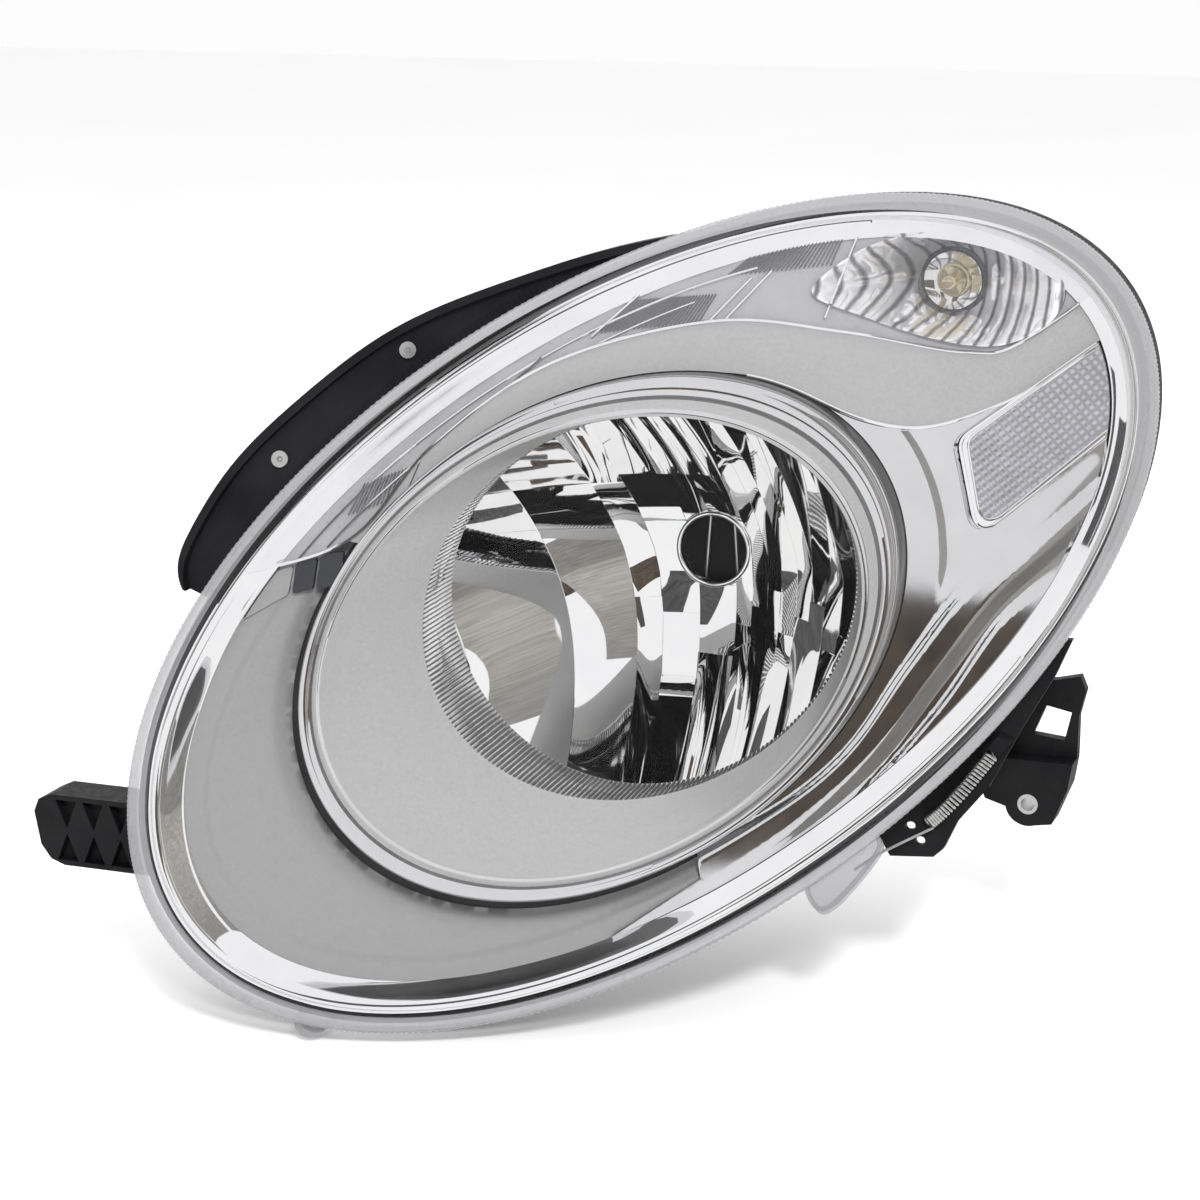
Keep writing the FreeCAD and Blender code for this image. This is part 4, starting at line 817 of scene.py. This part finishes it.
# Looks of the ring: chrome, the lighter satin, and the dark grey that paints shade on the ring's outer wall
# and in the crease of its lip.
RING_LOOKS = [SHEEN, LIT_SATIN, SHADE_GREY]
LIP_SECTION = [  # share of the way from the ring's outside to its lip, depth and look
    (0.0, -8.0, 0), (0.03, -10.4, 0), (0.12, -11.8, 0), (0.25, -12.0, 0), (0.38, -11.6, 0), (0.47, -10.4, 2),
    (0.58, -10.2, 1), (0.68, -10.9, 1), (0.80, -11.8, 0), (0.92, -12.0, 1), (1.0, -11.5, 1),
]
FALL_SHARES = (0.04, 0.15, 0.3, 0.5, 0.7, 0.85, 0.95, 1.0)
bezel = Mesh()
section = [(RING_OUTER, 10.0, 2), (RING_OUTER, 4.0, 2)]
section += [(between(RING_OUTER, RING_LIP, share), depth, look) for share, depth, look in LIP_SECTION]
for share in FALL_SHARES:
    depth = -11.2 + 19.2 * share - 1.2 * math.sin(math.pi * share)
    section.append((between(RING_LIP, RING_HOLE, share), depth, int(share < 1.0)))
section += [
    (RING_HOLE.grown(0.1), 8.3, 0), (RING_HOLE.grown(2.2), 8.3, 0), (RING_LIP.grown(2.2), -9.6, 0),
    (RING_OUTER.grown(-2.2), -7.6, 0), (RING_OUTER.grown(-2.2), 10.0, 0),
]
ring(bezel, [(oval, depth) for oval, depth, _ in section], 720, [look for _, _, look in section])
bezel.build("main_ring", "housing", "matte_silver", RING_LOOKS, ["bezel_ring"])

FLUTES = 250
BAND_FRONT = 8.5


def flute_depth(turns):
    """Back edge of the fluted band: deepest at the lower inboard side."""
    nearness = 0.5 + 0.5 * np.cos(turns - math.radians(215.0))
    return 9.6 + 40.0 * nearness ** 2.5


fluted = Mesh()
turns = turns_of(FLUTES * 6)
wave = 0.5 * np.cos(turns * FLUTES)
rows = []
for share in (0.0, 0.04, 0.5, 0.96, 1.0):
    x, z = between(RING_HOLE, FLUTE_END, share).grown(0.1).points(turns)
    swell = wave if 0.0 < share < 1.0 else 0.0
    x = x + swell * np.cos(turns)
    z = z + swell * np.sin(turns)
    rows.append(on_surface(x, z, BAND_FRONT + (flute_depth(turns) - BAND_FRONT) * share))
for share in (1.0, 0.0):
    x, z = between(RING_HOLE, FLUTE_END, share).grown(1.8).points(turns)
    rows.append(on_surface(x, z, BAND_FRONT + (flute_depth(turns) - BAND_FRONT) * share))
fluted.grid(rows, wrap=True, closed=True)
# Columns in the flute grooves take the dark grey: painted shade between the flutes.
grooves = np.cos(turns * FLUTES) < -0.2
fluted.slots = [int(groove) for line in rows for groove in grooves]
fluted.build("fluted_band", "housing", "bright_metal", [CHROME, SHADE_GREY], ["fluted_ring"], sharp=70.0)

# ---- main reflector facets

FOCAL = 33.0
BOWL_RADIUS = 100.4
BULB_HOLE = 17.0
BOWL_CENTRE = -6.0
LEAST_RISE = 0.15
FACET_STEP = 2.4
FAR = 110.0  # beyond the bowl's edge, where the tiles are cut off


def bowl_y(x, z):
    return -(x * x + z * z) / (4.0 * FOCAL)


def facet_points(columns, heights):
    """Places on the bowl for facet columns (the value at mid height) and heights."""
    u, z = np.meshgrid(columns, heights, indexing="ij")
    x = np.where(z > 0, u - 0.32 * z, (u - 0.15 * z) / (1.0 - 0.0025 * z))
    dx = x - BOWL_CENTRE
    dz = z - BOWL_CENTRE
    far = np.hypot(dx, dz)
    limit = np.minimum(1.0, BOWL_RADIUS / np.maximum(far, 1e-6))
    x = BOWL_CENTRE + dx * limit
    z = BOWL_CENTRE + dz * limit
    near = np.hypot(x, z)
    push = np.maximum(1.0, (BULB_HOLE + 0.3) / np.maximum(near, 1e-6))
    return x * push, z * push, (far < BOWL_RADIUS * 1.001) & (near > BULB_HOLE)


def facet(mesh, left, right, low, high, bulge, tilt=(0.0, 0.0)):
    """One mirror facet: a raised tile whose face bulges across its width and height, and may be tilted."""
    across = max(5, int((right - left) / FACET_STEP) + 2)
    up = max(5, int((high - low) / FACET_STEP) + 2)
    a = np.linspace(0.0, 1.0, across)
    b = np.linspace(0.0, 1.0, up)
    x, z, used = facet_points(left + (right - left) * a, low + (high - low) * b)
    if used.sum() < 4:
        return
    share_a, share_b = np.meshgrid(a, b, indexing="ij")
    rise = 0.5 + bulge[0] * 4 * share_a * (1 - share_a) + bulge[1] * 4 * share_b * (1 - share_b)
    rise = rise + tilt[0] * (share_a - 0.5) + tilt[1] * (share_b - 0.5)
    rise = np.maximum(rise, LEAST_RISE)
    slope = np.sqrt(1.0 + (x * x + z * z) / (4 * FOCAL * FOCAL))
    front = np.stack([x, bowl_y(x, z) - rise * slope, z], -1)
    back = np.stack([x, bowl_y(x, z) - 0.05 * slope, z], -1)
    keep_rows = np.where(used.any(1))[0]
    keep_columns = np.where(used.any(0))[0]
    first = max(keep_rows[0] - 1, 0)
    last = min(keep_rows[-1] + 2, across)
    bottom = max(keep_columns[0] - 1, 0)
    top = min(keep_columns[-1] + 2, up)
    mesh.block(front[first:last, bottom:top], back[first:last, bottom:top])


INBOARD_TILES = [  # left, right, low, high, bulge, tilt
    (-42.0, -29.0, -FAR, -24.0, (0.7, 0.3), (0.4, 0.0)),
    (-42.0, -29.0, -24.0, 22.0, (0.6, 0.3), (-0.5, 0.3)),
    (-42.0, -29.0, 22.0, 34.0, (0.3, 0.7)),
    (-42.0, -29.0, 34.0, FAR, (0.6, 0.4), (0.8, 0.0)),
]
LADDER = [  # low, high, tilt, bulge
    (-FAR, -66.0, 0.5, 0.8), (-66.0, -58.0, -0.6, 0.6), (-58.0, -31.0, 0.8, 1.0), (-31.0, -12.0, -0.9, 0.5),
    (-12.0, 13.0, 0.6, 0.7), (13.0, 20.0, -0.7, 0.4), (20.0, 38.0, 0.9, 0.5),
]
MIDDLE_TILES = [
    (-29.0, -16.0, 38.0, FAR, (0.5, 0.3), (-0.7, 0.0)),
    (-16.0, -3.0, 38.0, FAR, (1.0, 0.2), (0.9, 0.0)),
    (-10.0, 3.0, 17.2, 38.0, (0.9, 0.5)),
    (3.0, 17.0, 17.2, 38.0, (0.7, 0.9)),
    (-3.0, 7.0, 38.0, FAR, (1.1, 0.2)),
    (7.0, 17.0, 38.0, FAR, (1.1, 0.2)),
    (-10.0, 10.0, -48.0, -17.2, (0.3, 0.3), (-0.6, 0.7)),
    (-10.0, 3.0, -FAR, -48.0, (0.6, 0.5), (0.9, -0.5)),
    (3.0, 10.0, -FAR, -48.0, (0.6, 0.2), (-0.6, 0.0)),
]
STRIPES = (10.0, 19.0, 28.0, 36.0, 46.0, 55.0, 65.0, 76.0, 88.0, 112.0)
UPRIGHT_TILES = [
    (10.0, 19.0, 17.2, 38.0, (0.8, 0.5)),
    (17.0, 19.0, 38.0, FAR, (0.2, 0.1)),
]
facets = Mesh()
for left, right in ((-112.0, -71.0), (-71.0, -42.0)):
    facet(facets, left, right, -FAR, 34.0, (1.2, 0.6), (0.5, 0.0))
    edges = (34.0, 46.0, 59.0, 73.0, 92.0)
    for low, high in zip(edges, edges[1:]):
        facet(facets, left, right, low, high, (0.25, 0.15), (0.2, -0.3))
for tile in INBOARD_TILES:
    facet(facets, *tile)
for low, high, tilt, bulge in LADDER:
    facet(facets, -29.0, -10.0, low, high, (0.3, bulge), (0.0, tilt))
for tile in MIDDLE_TILES:
    facet(facets, *tile)
for number, (left, right) in enumerate(zip(STRIPES, STRIPES[1:])):
    lean = 0.6 if number % 2 else -0.5
    cut = -34.0 + 9.0 * (number % 3)
    top = 17.2 if right <= 19.0 else FAR
    facet(facets, left, right, cut, top, (0.16, 0.5), (lean, 0.0))
    facet(facets, left, right, -FAR, cut, (0.16, 0.6), (-lean, 0.8))
for tile in UPRIGHT_TILES:
    facet(facets, *tile)
facets.build("reflector_facets", "reflector", "reflector_metal", [MIRROR], sharp=30.0)

collar = Mesh()
collar.tube(circle((0.0, 0.0), 17.6, -3.6, 96), 1.25, 12, closed=True)
collar.build("bulb_hole_collar", "reflector", "reflector_metal", [CHROME])

# ---- side reflex reflector

PRISM_PITCH = 3.1
PRISM_RISE = 0.55


def reflex_depth(x, z):
    """Rows of small pyramids inside a plain border."""
    along = (x * 0.77 + z * 0.64) / PRISM_PITCH
    across = (-x * 0.64 + z * 0.77) / PRISM_PITCH
    cell = np.abs(along - np.floor(along) - 0.5) + np.abs(across - np.floor(across) - 0.5)
    return -0.9 + PRISM_RISE * cell


reflex = Mesh()
inner_loop = resampled(rounded_loop(REFLEX_CORNERS, -4.6, 6.0), 1.5)
trim_side = lens_loop(21.2)
panel(reflex, [inner_loop, trim_side], lambda a, b: a & b, reflex_depth, 2.2, PRISM_PITCH / 4)
reflex.build("reflex_prisms", "housing", "reflex_plastic", [PRISM_SILVER], ["reflex_reflector"], sharp=15.0)

border = Mesh()
panel(border, [reflex_loop, inner_loop, trim_side], lambda a, b, c: a & ~b & c, -0.2, 2.0, 2.0)
border.build("reflex_frame", "housing", "reflex_plastic", [CHROME])
rim = Mesh()
for margin, depth, radius in ((-0.9, -1.0, 0.8), (-4.2, -0.7, 0.55)):
    loop = resampled(rounded_loop(REFLEX_CORNERS, margin, 7.5), 1.5)
    loop = loop[inside_loop(trim_side, *loop.T)]
    rim.tube(lifted(from_cut(loop), depth), radius, 8)
rim.build("reflex_beads", "housing", "reflex_plastic", [CHROME])

# ---- turn signal

TURN = (107.5, 131.7)
MOUTH = [
    (60.0, 133.5), (84.0, 122.0), (110.0, 112.8), (133.0, 108.4), (148.0, 111.0), (160.0, 119.0),
    (164.0, 130.0), (160.0, 141.0), (150.0, 150.0), (134.0, 157.0), (113.0, 159.0), (92.0, 157.0),
    (74.0, 149.0),
]
TURN_BACK_Y = 28.0
TURN_HOLE = 14.3
mouth = spline(MOUTH, 420, closed=True)
mouth_x, mouth_y, mouth_z = lifted(mouth, 0.0).T
bearing = np.arctan2(mouth_z - TURN[1], mouth_x - TURN[0])
hole_x = TURN_HOLE * np.cos(bearing)
hole_z = TURN_HOLE * np.sin(bearing)
bucket = Mesh()
rows = []
for share in np.linspace(0.0, 1.0, 30):
    curve = share ** 1.6
    wide = (1.0 - share) ** 0.62
    x = TURN[0] + hole_x + (mouth_x - TURN[0] - hole_x) * wide
    z = TURN[1] + hole_z + (mouth_z - TURN[1] - hole_z) * wide
    y = mouth_y + (TURN_BACK_Y - mouth_y) * (0.25 * share + 0.75 * curve)
    ripple = 0.9 * np.abs(np.sin(x * math.pi / 8.5)) * math.sin(math.pi * min(1.0, share * 1.1)) ** 0.5
    rows.append(np.stack([x, y - ripple, z], -1))
back_rows = [row + (0.0, 1.4, 0.0) for row in rows[::-1]]
bucket.grid(rows + back_rows, wrap=True, closed=True)
bucket.build("turn_bucket", "housing", "bright_metal", [BUCKET], ["turn_signal_reflector"], sharp=40.0)

backing = Mesh()
panel(backing, [lens_loop(14.5), wing_loop, mouth[::3]], lambda a, b, c: a & b & ~c,
      lambda x, z: 2.5 + 1.2 * np.abs(np.sin((x + z) * 0.09)), 2.0, 4.0)
# The backing takes the lighter copy of the satin: painted light.
backing.build("strip_backing", "housing", "bright_metal", [LIT_SATIN])

# Behind the clear strip: fields of fine bars, a few slanting bars and long rails.
KNURLS = [  # ends of the lower edge, ends of the upper edge, number of bars
    ((-28.0, 116.5), (14.0, 121.0), (-12.0, 131.0), (20.0, 133.0), 26),
    ((24.0, 141.0), (66.0, 145.0), (36.0, 152.0), (70.0, 157.0), 24),
    ((-126.0, 37.0), (-102.0, 46.0), (-120.0, 51.0), (-100.0, 59.0), 15),
]
SLANTS = [
    ((-62.0, 94.0), (-50.0, 106.0)), ((-30.0, 115.0), (-12.0, 133.0)), ((18.0, 121.0), (34.0, 140.0)),
    ((24.0, 121.0), (42.0, 143.0)), ((66.0, 122.0), (76.0, 158.0)), ((-102.0, 46.0), (-96.0, 64.0)),
]
# The fine bars are dark grey: painted shade behind the clear strip.
ribs = Mesh()
for low_start, low_end, high_start, high_end, count in KNURLS:
    for share in np.linspace(0.0, 1.0, count):
        foot = np.array(low_start) * (1.0 - share) + np.array(low_end) * share
        head = np.array(high_start) * (1.0 - share) + np.array(high_end) * share
        ribs.tube(lifted(np.linspace(foot, head, 4), 1.9), 0.42, 6)
ribs.build("strip_knurl", "housing", "bright_metal", [SHADE_GREY])
rails = Mesh()
for start, end in SLANTS:
    rails.tube(lifted(np.linspace(start, end, 6), 1.6), 0.7, 6)
for inset, first, last in ((19.0, 84.0, 196.0), (25.5, 92.0, 190.0), (32.0, 100.0, 170.0)):
    x, z = LENS.grown(-inset).points(np.radians(np.arange(first, last, 1.0)))
    keep = inside_loop(wing_loop, x, z) & ~inside_loop(mouth, x, z)
    rails.tube(on_surface(x[keep], z[keep], 1.7), 0.55, 6)
rails.build("strip_rails", "housing", "bright_metal", [CHROME])


def strip_depth(x, z):
    """Clear strip: long ribs, a fine knurl in two patches and two broad slanting bars before the bulb."""
    rise = 0.35 * np.abs(np.sin(LENS.outside(x, z) * 0.42))
    ripple = 0.25 * np.abs(np.sin((x * 0.83 + z * 0.56) * 1.25))
    patch = smooth_step(x, -52.0, -44.0) * smooth_step(x, 34.0, 26.0)
    patch = np.maximum(patch, smooth_step(x, -150.0, -146.0) * smooth_step(x, -118.0, -124.0))
    bars = np.zeros(np.shape(x))
    for place in (-18.0, 12.0):
        slant = (x - TURN[0] - place) * 0.72 - (z - TURN[1]) * 0.69
        bars = np.maximum(bars, smooth_step(np.abs(slant), 3.4, 2.4))
    return -6.2 + rise + ripple * patch - 0.9 * bars


strip_mesh = Mesh()
panel(strip_mesh, [lens_loop(10.0), wing_loop], lambda a, b: a & b, strip_depth, 2.0, 1.8)
strip = strip_mesh.build("prism_strip", "housing", "clear_strip", [STRIP_CLEAR], ["turn_signal_inner_lens"],
                         sharp=30.0)

GLOBE_RADIUS = 12.4
GLOBE_Y = 8.0
angles = np.linspace(0.0, 2.5, 26)
profile = [(GLOBE_RADIUS * math.sin(a), GLOBE_Y - GLOBE_RADIUS * math.cos(a)) for a in angles]
profile += [(7.0, 19.5), (6.9, 24.0), (0.0, 24.0)]
bulb = Mesh()
bulb.lathe(profile, TURN, 72)
globe = bulb.build("turn_globe", "turn_signal_socket", "bulb_glass", [BULB_CLEAR], ["turn_signal_bulb_glass"],
                   sharp=60.0)
CUP_SECTION = [(7.6, 25.4), (10.0, 24.9), (13.6, 22.8), (13.9, 23.6), (10.4, 26.2), (7.6, 26.6), (7.6, 25.4)]
cup = Mesh()
cup.lathe(CUP_SECTION, TURN, 64)
cup.build("turn_socket_cup", "turn_signal_socket", "bright_metal", [CHROME])
stem = Mesh()
stem.lathe([(0.0, 12.0), (2.4, 12.4), (3.0, 14.0), (3.2, 23.8), (0.0, 23.8)], TURN, 32)
for side_x in (-2.6, 2.6):
    stem.tube([(TURN[0] + side_x, 15.0, TURN[1]), (TURN[0] + side_x * 1.2, GLOBE_Y, TURN[1])], 0.35, 8)
along = np.linspace(-3.0, 3.0, 90)
wave_y = GLOBE_Y + 0.5 * np.cos(along * 12)
wave_z = TURN[1] + 0.5 * np.sin(along * 12)
stem.tube(np.stack([TURN[0] + along, wave_y, wave_z], -1), 0.16, 6)
stem.build("turn_filament", "turn_signal_socket", "bulb_metal", [BRASS])
# A near-black ring round the turn bulb hole: painted dark reflection round the globe.
dark = Mesh()
dark.tube(circle(TURN, 14.6, TURN_BACK_Y - 1.6, 72), 1.5, 10, closed=True)
dark.build("turn_hole_dark_reflection_ring", "housing", "bright_metal", [PAINTED_DARK_REFLECTION])

# ---- spring, shroud teeth, corner tiles

SPRING_AXIS = [  # x, z and depth
    (148.5, -75.0, 8.0), (143.0, -83.0, 8.0), (136.8, -91.5, 8.0), (130.1, -99.2, 8.0), (125.0, -104.0, 8.0),
]
SPRING_TAIL = [(114.0, -112.5, 6.5), (106.0, -116.5, 4.5), (97.0, -122.5, 2.8)]
COIL_TURNS = 24
COIL_RADIUS = 3.15
WIRE = 0.75
SPRING_HEAD = [(149.6, -73.4, 8.0), (150.6, -72.0, 8.0)]


def swept_path(points):
    """Points in space from (x, z, depth) rows."""
    return on_surface(*np.array(points).T)


path = spline(swept_path(SPRING_AXIS), COIL_TURNS * 18)
ways = np.gradient(path, axis=0)
ways /= np.linalg.norm(ways, axis=1)[:, None]
side_way = np.cross(ways, (0.0, 1.0, 0.0))
side_way /= np.linalg.norm(side_way, axis=1)[:, None]
up_way = np.cross(ways, side_way)
phase = np.linspace(0.0, TAU * COIL_TURNS, len(path))
coil = path + COIL_RADIUS * (np.cos(phase)[:, None] * side_way + np.sin(phase)[:, None] * up_way)
spring = Mesh()
spring.tube(coil, WIRE, 8)
spring.tube(spline([coil[-1], *swept_path(SPRING_TAIL)], 60), WIRE, 8)
spring.tube(spline([coil[0], *swept_path(SPRING_HEAD)], 24), WIRE, 8)
spring.build("coil_spring", "housing", "steel", [STEEL], ["lens_retaining_spring"], sharp=60.0)

teeth = Mesh()
for turn in np.radians(np.arange(112.0, 156.0, 0.62)):
    ends = np.array([LENS.grown(margin).points(turn) for margin in (1.4, 4.6)])
    teeth.tube(lifted(ends, 6.9), 0.55, 6)
teeth.build("shroud_teeth", "housing", "housing_plastic", [PLASTIC])

# The second and third tiles are near black: painted dark reflection.
CORNER_TILES = [
    ([(-165.0, 8.0), (-149.0, 14.5), (-150.5, 1.5), (-171.0, -11.0)], SATIN),
    ([(-148.0, 15.5), (-139.0, 18.0), (-139.8, 4.2), (-148.6, 1.5)], PAINTED_DARK_REFLECTION),
    ([(-137.6, 18.5), (-127.5, 21.0), (-128.8, 6.0), (-138.2, 4.4)], PAINTED_DARK_REFLECTION),
]
for number, (corners, look) in enumerate(CORNER_TILES, 1):
    tile = Mesh()
    loop = resampled(rounded_loop(corners, 0.0, 1.2), 1.5)
    panel(tile, [loop, ring_loop, narrow_loop], lambda a, b, c: a & ~b & c, 4.6, 2.0, 1.5)
    tile.build(f"corner_tile_{number}", "housing", "bright_metal", [look])

# Reflections inside the lamp look straight through its clear pieces.
for clear in (cover, strip, globe):
    clear.visible_glossy = False
    clear.visible_diffuse = False

# ---- floor, light and camera


def card(name, corners, material):
    """Flat studio card with its corners in metres."""
    mesh = bpy.data.meshes.new(name)
    mesh.from_pydata(corners, [], [(0, 1, 2, 3)])
    mesh.materials.append(material)
    made = bpy.data.objects.new(name, mesh)
    bpy.context.scene.collection.objects.link(made)
    made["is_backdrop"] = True
    return made


floor_look = Look("studio_floor")
floor_look.colour(3.0, (0.955, 0.955, 0.955), (0.97, 0.97, 0.97))
floor_look.roughness(5.0, 0.6, 0.75)
floor_z = CAD_LOW.z - 0.002
REACH = 6.0
SQUARE = ((-REACH, -REACH), (REACH, -REACH), (REACH, REACH), (-REACH, REACH))
floor = card("floor", [(x, y, floor_z) for x, y in SQUARE], floor_look.material)
floor.visible_glossy = False


def card_look(name, dark, light):
    look = Look(name)
    look.colour(11.0, dark, light, (1.0, 1.0, 2.5))
    look.shader.inputs["Roughness"].default_value = 0.9
    return look.material


DARK_CARD = card_look("dark_card", (0.006, 0.006, 0.006), (0.09, 0.062, 0.04))
GREY_CARD = card_look("grey_card", (0.19, 0.18, 0.165), (0.31, 0.30, 0.28))
SMOKE_CARD = card_look("smoke_card", (0.03, 0.03, 0.03), (0.08, 0.08, 0.08))
FLAGS = [  # name, two ends on the floor plan, bottom, top at each end
    ("flag_low", (1.15, -2.4), (2.9, -1.0), -0.15, (0.66, 0.10), DARK_CARD),
    ("flag_side_a", (2.05, -1.65), (2.45, -0.75), -1.2, (3.0, 3.0), GREY_CARD),
    ("flag_side_b", (2.48, -0.60), (2.5, 0.1), -1.2, (3.0, 3.0), GREY_CARD),
    ("flag_side_c", (2.5, 0.25), (2.4, 1.0), -1.2, (3.0, 3.0), GREY_CARD),
    ("flag_slot_a", (0.2, -2.6), (0.6, -2.5), 0.7, (2.2, 2.2), SMOKE_CARD),
    ("flag_slot_b", (-1.0, -2.5), (-0.5, -2.6), 0.3, (2.0, 2.0), SMOKE_CARD),
    ("flag_slot_d", (-2.0, -1.8), (-1.5, -2.2), 0.9, (2.4, 2.4), SMOKE_CARD),
]
for name, (x0, y0), (x1, y1), foot, (top0, top1), look in FLAGS:
    flag = card(name, [(x0, y0, foot), (x1, y1, foot), (x1, y1, top1), (x0, y0, top0)], look)
    flag.visible_camera = False
    flag.visible_shadow = False
    flag.visible_diffuse = False
    flag.visible_transmission = False


def lamp(name, place, target, size, power):
    data = bpy.data.lights.new(name, "AREA")
    data.shape = "RECTANGLE"
    data.size = size[0]
    data.size_y = size[1]
    data.energy = power
    made = bpy.data.objects.new(name, data)
    made.location = place
    made.rotation_euler = (Vector(target) - Vector(place)).to_track_quat("-Z", "Y").to_euler()
    made.visible_glossy = False
    bpy.context.scene.collection.objects.link(made)


lamp("key", (0.95, -1.9, 1.5), (0.0, -0.1, 0.0), (0.35, 0.35), 58.0)
lamp("top", (0.0, 0.3, 2.4), (0.0, 0.0, 0.0), (2.2, 1.6), 14.0)
lamp("rear", (-0.8, 2.2, 1.2), (0.0, 0.1, 0.0), (1.6, 1.0), 10.0)

world = bpy.data.worlds.new("studio")
world.use_nodes = True
bpy.context.scene.world = world
tree = world.node_tree
background = tree.nodes["Background"]
background.inputs["Strength"].default_value = 1.0
where = tree.nodes.new("ShaderNodeTexCoord")
split = tree.nodes.new("ShaderNodeSeparateXYZ")
ramp = tree.nodes.new("ShaderNodeValToRGB")
tree.links.new(where.outputs["Generated"], split.inputs[0])
tree.links.new(split.outputs["Z"], ramp.inputs["Fac"])
ramp.color_ramp.elements[0].position = 0.0
ramp.color_ramp.elements[0].color = (0.98, 0.98, 0.98, 1.0)
ramp.color_ramp.elements[1].position = 0.9
ramp.color_ramp.elements[1].color = (0.96, 0.96, 0.97, 1.0)
tree.links.new(ramp.outputs["Color"], background.inputs["Color"])

camera_data = bpy.data.cameras.new("camera")
camera_data.lens = 90.0
camera_data.sensor_width = 36.0
camera = bpy.data.objects.new("camera", camera_data)
azimuth = math.radians(20.0)
elevation = math.radians(14.0)
look_way = Vector((
    -math.sin(azimuth) * math.cos(elevation), math.cos(azimuth) * math.cos(elevation), -math.sin(elevation),
))
camera.location = (0.4306, -1.3470, 0.3262)
camera.rotation_euler = look_way.to_track_quat("-Z", "Y").to_euler()
bpy.context.scene.collection.objects.link(camera)
bpy.context.scene.camera = camera
bpy.context.scene.view_settings.view_transform = "Standard"

low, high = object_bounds()
